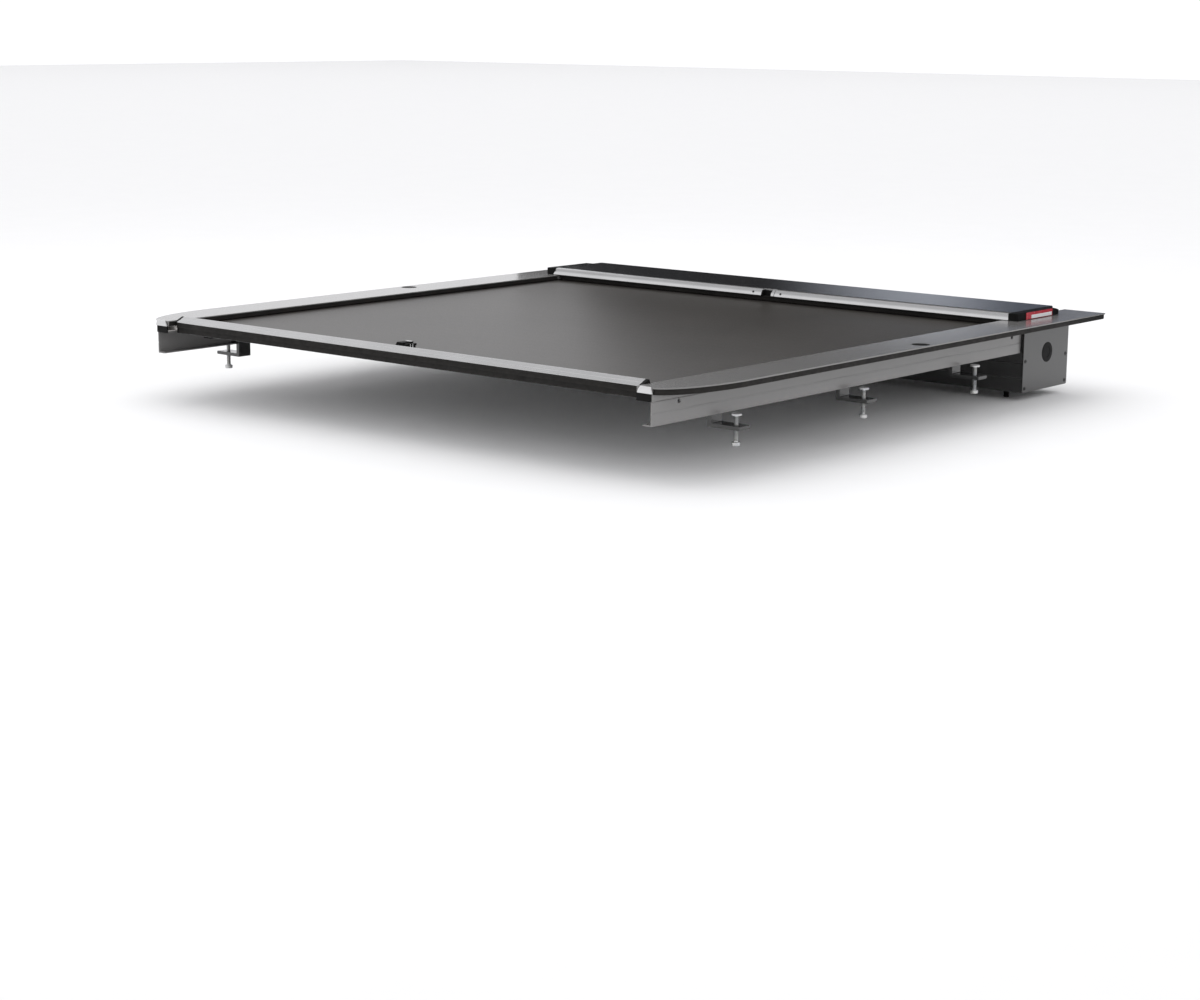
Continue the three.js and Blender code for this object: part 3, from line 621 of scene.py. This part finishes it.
def add_bar():
    bm = bmesh.new()
    prism(bm, "x", bar_outline(0.1), -BAR_HALF, BAR_HALF)
    bar = make_object("bar_extrusion", bm, "bar", satin_metal, ["leading_bar"])
    bm = bmesh.new()
    block(bm, (-BAR_HALF, BAR_STEP + 0.6, 0.1), (BAR_HALF, BAR_FRONT + 0.2, DECK_TOP - 0.1))
    vinyl_strip = make_object("bar_vinyl", bm, "bar", vinyl)
    for piece in (bar, vinyl_strip):
        drill(piece, "z", BARREL_HOLE_RADIUS, -40, 40, (*BARREL, 0))
    bm = bmesh.new()
    low, high = box_mm("tailgate_seal")
    seal = [(high[1], high[2]), (BAR_NOSE_Y + 0.3, BAR_NOSE_Z - 1.2), (BAR_NOSE_Y - 0.4, BAR_NOSE_Z - 1.6),
            (high[1] - 6.4, 7.5), (high[1] - 5.6, 5), (low[1] + 0.4, 1.2), (low[1], -0.6),
            (low[1] + 1.4, -1), (high[1] - 3, 1.4), (high[1] - 1.8, -1.6), (high[1] - 1.7, low[2]),
            (high[1], low[2])]
    prism(bm, "x", rounded(seal, 0.8), -BAR_HALF, BAR_HALF)
    make_object("bar_rear_seal", bm, "bar", rubber_and_painted_shade, ["tailgate_seal"])
    for name, side in SIDES:
        low, high = box_mm(f"{name}_bar_end_cap")
        bm = bmesh.new()
        prism(bm, "x", bar_outline(DECK_TOP, groove=False), low[0], high[0])
        bevelled(bm, 0.7)
        make_object(f"{name}_bar_cap", bm, "bar", moulded, [f"{name}_bar_end_cap"])
        low, high = box_mm(f"{name}_slide_shoe")
        make_block(f"{name}_track_shoe", low, high, 1.2, "bar", nylon, [f"{name}_slide_shoe"])
    add_latch()


def add_latch():
    """The pod with the key barrel in it, and beside it the catch with two light ribs on its flank."""
    bm = bmesh.new()
    slope_run, slope_foot = 7, 12
    outline = [(pod_low[0], pod_low[2]), (pod_high[0], pod_low[2]), (pod_high[0], pod_high[2]),
               (pod_low[0] + slope_run, pod_high[2]), (pod_low[0], pod_low[2] + slope_foot)]
    prism(bm, "y", outline, pod_low[1], pod_high[1])
    bevelled(bm, 1.6, segments=3)
    housing = make_object("latch_housing", bm, "bar", moulded, ["latch_pod"])
    drill(housing, "z", POD_HOLE_RADIUS, -10, 60, (*BARREL, 0))

    bm = bmesh.new()
    height = barrel_high[2] - barrel_low[2]
    profile = [(0, 0), (6, 0), (6.5, 0.6), (6.5, height - 0.5), (6, height), (5.4, height),
               (5.1, height - 0.5), (0, height - 0.5)]
    turned(bm, "z", profile, (*BARREL, barrel_low[2]), 40)
    cylinder = make_object("key_cylinder", bm, "lock", dark_screw, ["key_barrel"])
    keyway = bmesh.new()
    half_width, half_length = 0.7, 4
    block(keyway, (BARREL[0] - half_width, BARREL[1] - half_length, barrel_high[2] - 4),
          (BARREL[0] + half_width, BARREL[1] + half_length, barrel_high[2] + 2))
    cut_hole(cylinder, keyway)

    bm = bmesh.new()
    tooth_root, tooth_bottom, tooth_top = catch_high[1] - 3, 16.5, 21
    outline = [(catch_low[1], catch_low[2]), (tooth_root, catch_low[2]), (tooth_root, tooth_bottom),
               (catch_high[1], tooth_bottom), (catch_high[1], tooth_top), (catch_low[1] + 4, 22),
               (catch_low[1], 18.5)]
    prism(bm, "x", outline, catch_low[0], catch_high[0])
    bevelled(bm, 0.4)
    make_object("catch_slider", bm, "catch", moulded, ["hold_open_catch"])
    for rib, station in enumerate((RIB_FIRST, RIB_FIRST + RIB_PITCH), 1):
        make_block(f"catch_rib_{rib}", (catch_high[0] - 1, station, catch_low[2] + 1),
                   (catch_high[0] + 0.4, station + RIB_WIDTH, tooth_top), 0.3, "catch",
                   grey_and_painted_highlight)
    # A thin light grey strip along the top of the black pod: a painted highlight, standing in for the gloss
    # on the pod's top face.
    make_block("latch_top_highlight", (pod_low[0] + slope_run + 1, pod_high[1] - 8.5, pod_high[2] - 0.5),
               (pod_high[0] - 1, pod_high[1] - 1.6, pod_high[2] + 0.3), 0.25, "bar",
               grey_and_painted_highlight)


# ---------------------------------------------------------------- lid
def add_lip():
    """The lid's quarter-round edge, with the notch for the catch, the cheek beside it and two screws."""
    bm = bmesh.new()
    radius = lip_high[1] - lip_low[1]
    steps, sweep_angle = 18, math.radians(83)
    arc = []
    for step in range(steps + 1):
        angle = sweep_angle * (1 - step / steps)
        arc.append((lip_high[1] - radius * math.sin(angle), lip_high[2] - radius * (1 - math.cos(angle))))
    lip = [(lip_high[1], lip_low[2]), (lip_low[1] + 0.8, lip_low[2]), *arc]
    prism(bm, "x", lip, lip_low[0], lip_high[0])
    lip_piece = make_object("lid_lip", bm, "root", satin_metal, ["lid_front_lip"],
                            smooth_angle=50)
    notch = bmesh.new()
    cheek_low, cheek_high = box_mm("keeper_cheek")
    block(notch, (keeper_low[0] - 0.3, lip_low[1] - 5, 0), (cheek_high[0] + 1.5, keeper_high[1] + 0.3, 60))
    cut_hole(lip_piece, notch)
    bm = bmesh.new()
    slope = [(y, z) for y, z in arc if y < cheek_high[1] and z < cheek_high[2] + 1.5]
    prism(bm, "x", [(cheek_high[1], cheek_low[2]), (cheek_low[1] - 0.4, cheek_low[2]), *slope,
                    (cheek_high[1], cheek_high[2] + 1)], cheek_low[0], cheek_high[0])
    bevelled(bm, 0.5)
    make_object("keeper_side", bm, "root", satin_metal, ["keeper_cheek"])
    for x in (keeper_low[0] - 26, cheek_high[0] + 20):
        bm = bmesh.new()
        head = [(0, -1.2), (2.2, -1.2), (2.9, -0.6), (2.9, 3), (0, 3)]
        turned(bm, "y", head, (x, lip_low[1] + 2.2, LIP_SCREW_Z), 24)
        make_object(f"lip_screw_{'left' if x < 0 else 'right'}", bm, "root", dark_screw)


def add_lid():
    add_lip()
    bm = bmesh.new()
    rear = lid_low[1]
    top = lid_high[2]
    ledge = lid_low[2] + SHEET
    outline = [
        (rear, top), (LID_FRONT - 5, top), (LID_FRONT - 1.4, top - 1.4), (LID_FRONT, top - 5),
        (LID_FRONT, ledge), (lid_high[1], ledge), (lid_high[1], lid_low[2]), (LID_FRONT - SHEET, lid_low[2]),
        (LID_FRONT - SHEET, top - 6), (LID_FRONT - 6, top - SHEET), (rear, top - SHEET),
    ]
    prism(bm, "x", rounded(outline, 1.4), lid_low[0], lid_high[0])
    lid = make_object("lid_plate", bm, "root", lid_coat, ["canister_lid"])
    for _, side in SIDES:
        room = bmesh.new()
        ends = sorted((side * (OPENING_HALF - 0.5), side * (lid_high[0] + 5)))
        block(room, (ends[0], LID_FRONT - 10, 0), (ends[1], lid_high[1] + 5, FLANGE_TOP + 0.3))
        cut_hole(lid, room)

    for name, side in SIDES:
        add_lid_cap(name, side)

    low, high = box_mm("lid_badge_plate")
    make_block("badge_plate", low, (high[0] - 0.3, high[1], high[2]), 0.4, "root", badge_red,
               ["lid_badge_plate"])
    make_block("badge_inlay", (high[0] - 0.4, low[1] + 24, low[2] + 1), (high[0], high[1] - 3, high[2] - 7),
               0.15, "root", badge_white, segments=1)


def add_lid_cap(name, side):
    """A cap whose rear corner is rounded, and which curves in and falls away towards the cab."""
    low, high = box_mm(f"{name}_lid_end_cap")
    inner, outer = sorted((abs(low[0]), abs(high[0])))
    reach = outer - inner
    sweep_start = high[1] - 24
    slope_start = high[1] - 47
    total_fall = 11
    rear_round = 4
    steps = 24
    stations = []
    for y in (low[1], low[1] + 1, low[1] + 2.5, low[1] + 4.5):
        short = rear_round * (1 - min(1, (y - low[1]) / rear_round)) ** 1.6
        stations.append((y, outer - short, high[2]))
    for step in range(steps + 1):
        y = slope_start + (high[1] - 0.2 - slope_start) * step / steps
        along = max(0.0, y - sweep_start) / (high[1] - sweep_start)
        share = (y - slope_start) / (high[1] - slope_start)
        edge = inner + reach * math.sqrt(max(0.02, 1 - along ** 2))
        stations.append((y, edge, high[2] - total_fall * share ** 1.5))
    bm = bmesh.new()
    sweep(bm, "y", [
        (y, mirrored(side, rounded([(inner, low[2]), (edge, low[2]), (edge, top), (inner, top)], 1.8)))
        for y, edge, top in stations
    ])
    make_object(f"{name}_lid_cap", bm, "root", moulded, [f"{name}_lid_end_cap"])


# ---------------------------------------------------------------- clamps
def add_clamps():
    for name, side in SIDES:
        for index in (1, 2, 3):
            add_clamp(name, side, index)


def add_clamp(name, side, index):
    """A hook that hangs inside the rail, with a screw through its lower arm."""
    low, high = box_mm(f"{name}_clamp_{index}")
    back, tip = CLAMP_REACH
    neck, head_tip = CLAMP_NECK
    arm_top = low[2] + CLAMP_JAW
    under_head = high[2] - CLAMP_HEAD
    outline = [(back, high[2]), (head_tip, high[2]), (head_tip, under_head), (neck, under_head),
               (neck, arm_top), (tip, arm_top), (tip, low[2]), (back, low[2])]
    bm = bmesh.new()
    prism(bm, "y", mirrored(side, rounded(outline, 2.0)), low[1], high[1])
    bevelled(bm, 0.8, angle=50)
    hook = make_object(f"{name}_clamp_hook_{index}", bm, "root", lid_coat,
                       [f"{name}_clamp_{index}"])
    screw_low, screw_high = box_mm(f"{name}_clamp_screw_{index}")
    centre = (*middle(screw_low, screw_high)[:2], 0)
    drill(hook, "z", 5.5, low[2] - 5, low[2] + 14, centre, 32)
    bm = bmesh.new()
    turned(bm, "z", screw_profile(screw_low[2], screw_high[2]), centre, 32)
    make_object(f"{name}_clamp_bolt_{index}", bm, f"{name}_screw_{index}", zinc,
                [f"{name}_clamp_screw_{index}"])


def screw_profile(bottom, top):
    """Head, thread and pad, from the bottom up."""
    crest, root, pitch = 5, 4.3, 1.5
    profile = [(0, bottom), (8, bottom), (9, bottom + 1), (9, bottom + 7.2), (8.2, bottom + 8),
               (crest, bottom + 8)]
    z = bottom + 10
    while z < top - 8:
        profile += [(crest, z), (root, z + pitch / 2)]
        z += pitch
    profile += [(root, top - 5), (10.4, top - 5), (11, top - 4.4), (11, top - 0.8), (10.2, top), (0, top)]
    return profile


# ---------------------------------------------------------------- canister
def add_canister():
    rear, front = shell_low[1], box_mm("left_canister_end_plate")[1][1]
    floor, sill = shell_low[2], -16
    back_top = shell_high[2]
    inner_floor = floor + SHEET
    groove = 1.1
    bore = 4.5
    outline = [(rear, sill), *grooves((rear, sill), (rear, floor), 3, groove, (1, 0)), (rear, floor),
               *grooves((rear, floor), (front, floor), 4, groove, (0, 1)), (front, floor),
               *grooves((front, floor), (front, back_top - SHEET), 3, groove, (-1, 0)),
               (front, back_top - SHEET), (shell_high[1], back_top - SHEET), (shell_high[1], back_top),
               (front - SHEET, back_top), (front - SHEET, inner_floor), (rear + SHEET, inner_floor),
               (rear + SHEET, sill)]
    bm = bmesh.new()
    prism(bm, "x", rounded(outline, 1.2), shell_low[0], shell_high[0])
    shell = make_object("canister_body", bm, "root", lid_coat, ["canister_shell"])
    for name, side in SIDES:
        low, high = box_mm(f"{name}_drain_spigot")
        drain = (*middle(low, high)[:2], 0)
        drill(shell, "z", 7.5, floor - 9, floor + 9, drain, 32)
        bm = bmesh.new()
        barbs = [(bore, low[2] + 0.4), (5.2, low[2])]
        for ring in range(4):
            z = low[2] + 4.2 * ring
            barbs += [(5.9, z + 0.3), (7.0, z + 3.4), (6.1, z + 3.6)]
        barbs += [(6.1, floor - 0.4), (7, floor - 0.2), (7, high[2] - 0.6), (6.4, high[2]), (bore, high[2]),
                  (bore, low[2] + 0.4)]
        turned(bm, "z", barbs, drain, 36)
        make_object(f"{name}_drain_hose_tail", bm, "root", moulded, [f"{name}_drain_spigot"])
        add_canister_end(name, side)


def grooves(start, end, count, depth, inward):
    """Shallow V grooves spaced along a wall, as an extrusion has them."""
    half_width = 2.2
    run, rise = end[0] - start[0], end[1] - start[1]
    length = math.hypot(run, rise)
    along = (run / length * half_width, rise / length * half_width)
    points = []
    for index in range(1, count + 1):
        share = index / (count + 1)
        u = start[0] + run * share
        v = start[1] + rise * share
        points += [(u - along[0], v - along[1]), (u + inward[0] * depth, v + inward[1] * depth),
                   (u + along[0], v + along[1])]
    return points


def add_canister_end(name, side):
    """The end plate with six screws and a round boss on the axle, and the bearing block behind it."""
    low, high = box_mm(f"{name}_canister_end_plate")
    inner, outer = sorted((abs(low[0]), abs(high[0])))
    axle = (0, *middle(*box_mm("roller_axle"))[1:])
    corners = rounded([(low[1], low[2]), (high[1], low[2]), (high[1], high[2]), (low[1], high[2])], 6,
                      steps=5)
    ends = sorted((side * inner, side * (outer - 0.9)))
    bm = bmesh.new()
    prism(bm, "x", corners, *ends)
    bevelled(bm, 0.9, angle=60)
    make_object(f"{name}_canister_cover", bm, "root", lid_coat,
                [f"{name}_canister_end_plate"])
    screws = [(y, z) for y in (low[1] + 10, high[1] - 10) for z in (low[2] + 10, low[2] + 75, -12)]
    for index, (y, z) in enumerate(screws, 1):
        bm = bmesh.new()
        head = [(0, inner + 1), (4.6, inner + 1), (4.6, outer - 0.4), (4.1, outer), (2.1, outer),
                (1.7, outer - 0.8), (0, outer - 0.8)]
        turned(bm, "x", [(r, side * x) for r, x in head], (0, y, z), 28)
        make_object(f"{name}_cover_screw_{index}", bm, "root", dark_screw)
    bm = bmesh.new()
    boss = [(0, inner + 1), (24, inner + 1), (24, outer - 0.5), (23.2, outer), (13, outer),
            (12.2, outer - 0.7), (0, outer - 0.7)]
    turned(bm, "x", [(r, side * x) for r, x in boss], axle, 48)
    make_object(f"{name}_axle_boss", bm, "root", moulded)

    low, high = box_mm(f"{name}_axle_block")
    bearing = make_block(f"{name}_bearing_block", low, high, 1.5, "root", moulded,
                         [f"{name}_axle_block"])
    drill(bearing, "x", AXLE_RADIUS + 0.4, low[0] - 5, high[0] + 5, axle)


# ---------------------------------------------------------------- roller
def add_roller():
    axle_low, axle_high = box_mm("roller_axle")
    centre = (0, *middle(axle_low, axle_high)[1:])

    bm = bmesh.new()
    reach = axle_high[0]
    end_radius = AXLE_RADIUS - 1
    turned(bm, "x", [(0, -reach), (end_radius, -reach), (AXLE_RADIUS, 1 - reach), (AXLE_RADIUS, reach - 1),
                     (end_radius, reach), (0, reach)], centre)
    make_object("roller_shaft", bm, "root", zinc, ["roller_axle"])

    reach = box_mm("roller_tube")[1][0]
    bm = bmesh.new()
    turned(bm, "x", ring_profile(*TUBE_RADII, -reach, reach), centre, 56)
    make_object("roller_core", bm, "roller", mill_metal, ["roller_tube"])

    add_roll(centre, box_mm("wound_deck")[1][0])

    for name, side in SIDES:
        low, high = box_mm(f"{name}_roller_hub")
        bm = bmesh.new()
        turned(bm, "x", ring_profile(AXLE_RADIUS + 0.4, TUBE_RADII[0] - 0.4, low[0], high[0], chamfer=1),
               centre, 48)
        make_object(f"{name}_hub", bm, "roller", nylon, [f"{name}_roller_hub"])

    add_spring(centre)


def add_spring(centre):
    """A wire of ten sides wound round the axle."""
    low, high = box_mm("torsion_spring")
    turns, wire, radius = 12, 2.5, 20
    steps, sides = 24, 10
    start = low[0] + wire
    pitch = (high[0] - low[0] - 2 * wire) / turns
    bm = bmesh.new()
    rings = []
    for step in range(turns * steps + 1):
        angle = 2 * math.pi * step / steps
        radial = Vector((0, math.cos(angle), math.sin(angle)))
        hub = Vector((start + pitch * step / steps, *centre[1:])) + radial * radius
        ring = []
        for corner in range(sides):
            turn = 2 * math.pi * corner / sides
            across = Vector((wire * math.sin(turn), 0, 0))
            ring.append(bm.verts.new(hub + radial * (wire * math.cos(turn)) + across))
        rings.append(ring)
    for near, far in zip(rings, rings[1:]):
        for corner in range(sides):
            after = (corner + 1) % sides
            bm.faces.new((near[corner], near[after], far[after], far[corner]))
    bm.faces.new(rings[0])
    bm.faces.new(rings[-1])
    make_object("return_spring", bm, "roller", zinc, ["torsion_spring"])


def add_roll(centre, reach):
    """The first turn of deck on the tube: seven slats side by side, flat outside, under their vinyl."""
    slats, apothem, inner = 7, 39.6, 36.4
    steps_per_slat, seam = 8, 0.5
    steps = slats * steps_per_slat
    outer_loop, inner_loop = [], []
    for step in range(steps):
        angle = 2 * math.pi * step / steps
        offset = (angle % (2 * math.pi / slats)) - math.pi / slats
        radius = apothem / math.cos(offset) - (seam if step % steps_per_slat == 0 else 0)
        outer_loop.append((centre[1] + radius * math.cos(angle), centre[2] + radius * math.sin(angle)))
        inner_loop.append((centre[1] + inner * math.cos(angle), centre[2] + inner * math.sin(angle)))
    bm = bmesh.new()
    rows = {}
    for end in (-reach, reach):
        rows[end] = [[bm.verts.new((end, *p)) for p in loop] for loop in (outer_loop, inner_loop)]
    for index in range(steps):
        after = (index + 1) % steps
        for loop in (0, 1):
            near, far = rows[-reach][loop], rows[reach][loop]
            bm.faces.new((near[index], near[after], far[after], far[index]))
        for end in (-reach, reach):
            outer, inside = rows[end]
            bm.faces.new((outer[index], outer[after], inside[after], inside[index]))
    make_object("deck_roll", bm, "roller", vinyl, ["wound_deck"], smooth_angle=20)


# ---------------------------------------------------------------- lock rods and other small parts
def add_small_parts():
    for name, side in SIDES:
        low, high = box_mm(f"{name}_lock_rod")
        centre = (0, *middle(low, high)[1:])
        tip, root = (high[0], low[0]) if side > 0 else (low[0], high[0])
        bm = bmesh.new()
        turned(bm, "x", [(0, root), (ROD_RADIUS, root), (ROD_RADIUS, tip - side * 3), (2.4, tip), (0, tip)],
               centre, 28)
        make_object(f"{name}_rod", bm, f"{name}_rod", zinc, [f"{name}_lock_rod"])

        low, high = box_mm(f"{name}_rod_guide")
        guide = make_block(f"{name}_guide", low, high, 1.2, "bar", moulded,
                           [f"{name}_rod_guide"])
        drill(guide, "x", ROD_RADIUS + 0.5, low[0] - 5, high[0] + 5, centre, 28)

        low, high = box_mm(f"{name}_track_liner")
        bm = bmesh.new()
        lip = 0.7
        section = [(low[0], low[2]), (high[0], low[2]), (high[0], high[2]), (high[0] - 4, high[2]),
                   (high[0] - 5, high[2] - lip), (low[0] + 5, high[2] - lip), (low[0] + 4, high[2]),
                   (low[0], high[2])]
        prism(bm, "y", rounded(section, 0.5), low[1], high[1])
        make_object(f"{name}_liner", bm, "root", nylon, [f"{name}_track_liner"])

    low, high = box_mm("lock_cam")
    half = (high[0] - low[0]) / 2
    reach = (high[1] - low[1]) / 2 - half
    steps = 32
    outline = []
    for step in range(steps):
        angle = 2 * math.pi * (step + 0.5) / steps
        outline.append((BARREL[0] + half * math.cos(angle),
                        BARREL[1] + half * math.sin(angle) + math.copysign(reach, math.sin(angle))))
    bm = bmesh.new()
    prism(bm, "z", outline, low[2], high[2])
    bevelled(bm, 0.6, angle=60)
    make_object("cam", bm, "lock", zinc, ["lock_cam"])

    low, high = keeper_low, keeper_high
    wall = 2.7
    mouth_end = high[1] - 3
    outline = [(low[0], low[1]), (low[0], high[1]), (high[0], high[1]), (high[0], low[1]),
               (high[0] - wall, low[1]), (high[0] - wall, mouth_end), (low[0] + wall, mouth_end),
               (low[0] + wall, low[1])]
    bm = bmesh.new()
    prism(bm, "z", outline, low[2], high[2])
    bevelled(bm, 0.5)
    make_object("keeper", bm, "root", moulded, ["latch_keeper"])

    low, high = box_mm("mouth_wiper")
    blade = [(low[1], high[2]), (high[1], high[2]), (high[1], high[2] - 2.6), (low[1] + 5.4, high[2] - 3.4),
             (low[1] + 4.6, high[2] - 8), (low[1] + 5, low[2] + 0.4), (low[1] + 4.4, low[2]),
             (low[1] + 3.4, low[2] + 0.6), (low[1] + 2.8, high[2] - 7), (low[1] + 2.4, high[2] - 3),
             (low[1], high[2] - 2.6)]
    bm = bmesh.new()
    prism(bm, "x", rounded(blade, 0.5), low[0], high[0])
    make_object("wiper_blade", bm, "root", rubber_and_painted_shade, ["mouth_wiper"])


# ---------------------------------------------------------------- stage
def add_camera():
    """Behind the tailgate, to the truck's right, looking down on the cover."""
    data = bpy.data.cameras.new("camera")
    data.sensor_width = 36
    data.lens = 69.84
    camera = bpy.data.objects.new("camera", data)
    bpy.context.scene.collection.objects.link(camera)
    place_m = (3.5144, -3.4095, 0.7113)
    forward = Vector((-0.63324, 0.7467, -0.20359)).normalized()
    right = Vector((0.76166, 0.64793, 0.00731)).normalized()
    up = right.cross(forward).normalized()
    right = forward.cross(up)
    turn = Matrix((right, up, -forward)).transposed().to_4x4()
    camera.matrix_world = Matrix.Translation(place_m) @ turn
    bpy.context.scene.camera = camera


def stage_board(name, corners, material, unseen_by=()):
    """A flat board with its corners in metres; the kinds of ray in unseen_by pass through it."""
    bm = bmesh.new()
    bm.faces.new([bm.verts.new(corner) for corner in corners])
    mesh = bpy.data.meshes.new(name)
    bm.to_mesh(mesh)
    bm.free()
    board = bpy.data.objects.new(name, mesh)
    bpy.context.scene.collection.objects.link(board)
    mesh.materials.append(material)
    for ray in unseen_by:
        setattr(board, f"visible_{ray}", False)


def soft_light(name, width, energy, location):
    """A square light over the cover that gloss doesn't show."""
    data = bpy.data.lights.new(name, "AREA")
    data.shape = "RECTANGLE"
    data.size = data.size_y = width
    data.energy = energy
    light = bpy.data.objects.new(name, data)
    bpy.context.scene.collection.objects.link(light)
    light.location = location
    light.rotation_mode = "QUATERNION"
    aim = Vector((0, 0.8, 0)) - Vector(location)
    light.rotation_quaternion = aim.to_track_quat("-Z", "Y")
    light.visible_glossy = False


def card_paint(name, axis, low, high, stops):
    """Matt paint that changes along one axis of the board, from low to high in metres."""
    material, tree, shader, where = new_material(name)
    split = tree.nodes.new("ShaderNodeSeparateXYZ")
    tree.links.new(where, split.inputs["Vector"])
    along = tree.nodes.new("ShaderNodeMapRange")
    along.inputs["From Min"].default_value = low
    along.inputs["From Max"].default_value = high
    tree.links.new(split.outputs[axis], along.inputs["Value"])
    ramp = tree.nodes.new("ShaderNodeValToRGB")
    ramp.color_ramp.interpolation = "EASE"
    elements = ramp.color_ramp.elements
    while len(elements) < len(stops):
        elements.new(0.5)
    for element, (position, colour) in zip(elements, stops):
        element.position = position
        element.color = (*colour, 1)
    tree.links.new(along.outputs["Result"], ramp.inputs["Fac"])
    tree.links.new(ramp.outputs["Color"], shader.inputs["Base Color"])
    shader.inputs["Roughness"].default_value = 0.9
    return material


def add_cards():
    """Two boards that only gloss sees, standing where a cab would stand behind the cover. Their paint is a
    painted reflection: dark painted shade low down and to the left, a pale bluish painted highlight low on
    the right, and pale grey higher up.
    """
    unseen_by = ("camera", "shadow", "diffuse", "transmission")
    back = RAIL_FRONT * MM + 0.04
    left, right = -0.92, 0.92
    seam, top = 0.15, 1.25
    lean = back + 0.25
    # The high board: dark painted shade low down, rising to pale grey at its top.
    cab_reflection_paint = card_paint("card_high_painted_reflection", "Z", seam, top,
                        ((0, grey(0.010)), (0.20, grey(0.016)), (1, grey(0.75))))
    stage_board("card_high", ((left, back, seam), (right, back, seam), (0.84, lean, top), (-0.60, lean, top)),
                cab_reflection_paint, unseen_by)
    # The low board along x: painted shade, then a pale bluish painted highlight, then a dimmer painted
    # highlight.
    shade_paint, highlight_paint, dim_highlight_paint = (0.010, 0.010, 0.013), (0.62, 0.66, 0.74), (0.16, 0.18, 0.23)
    highlight_reflection_paint = card_paint("card_low_painted_reflection", "X", -1.2, right,
                         ((0, shade_paint), (0.44, shade_paint), (0.70, highlight_paint), (0.84, dim_highlight_paint)))
    left, foot = -1.15, -0.02
    stage_board("card_low",
                ((left, back, foot), (right, back, foot), (right, back, seam), (left, back, seam)), highlight_reflection_paint,
                unseen_by)


def fade(tree, vector, axis, start, end, first, last):
    """A soft step along one axis of a direction, from first to last."""
    split = tree.nodes.new("ShaderNodeSeparateXYZ")
    tree.links.new(vector, split.inputs["Vector"])
    step = tree.nodes.new("ShaderNodeMapRange")
    step.interpolation_type = "SMOOTHSTEP"
    for label, value in (("From Min", start), ("From Max", end), ("To Min", first), ("To Max", last)):
        step.inputs[label].default_value = value
    tree.links.new(split.outputs[axis], step.inputs["Value"])
    return step.outputs["Result"]


def add_world():
    """A white room, a little darker overhead."""
    world = bpy.data.worlds.new("studio")
    bpy.context.scene.world = world
    world.use_nodes = True
    tree = world.node_tree
    background = tree.nodes["Background"]
    background.inputs["Color"].default_value = (0.98, 0.98, 1.0, 1)
    direction = tree.nodes.new("ShaderNodeTexCoord").outputs["Generated"]
    strength = fade(tree, direction, "Z", 0.54, 0.74, 1.08, 0.64)
    tree.links.new(strength, background.inputs["Strength"])


def add_stage():
    floor_paper = surface("floor_paper", grey(0.90), grey(0.91), (0.8, 0.9), specular=0.1, grain=40,
                          grain_depth=0.0)
    reach = 30
    level = cad_low.z - 0.001
    stage_board("floor", ((-reach, -reach, level), (reach, -reach, level), (reach, reach, level),
                          (-reach, reach, level)), floor_paper)
    add_world()
    soft_light("overhead", 4, 38, (-0.8, 0.6, 3.2))
    soft_light("ceiling", 70, 3900, (0, 0.8, 12))
    add_cards()
    bpy.context.scene.view_settings.view_transform = "Standard"


for side_name, side_sign in SIDES:
    add_rail(side_name, side_sign)
add_deck()
add_bar()
add_lid()
add_canister()
add_roller()
add_small_parts()
add_clamps()
add_camera()
add_stage()
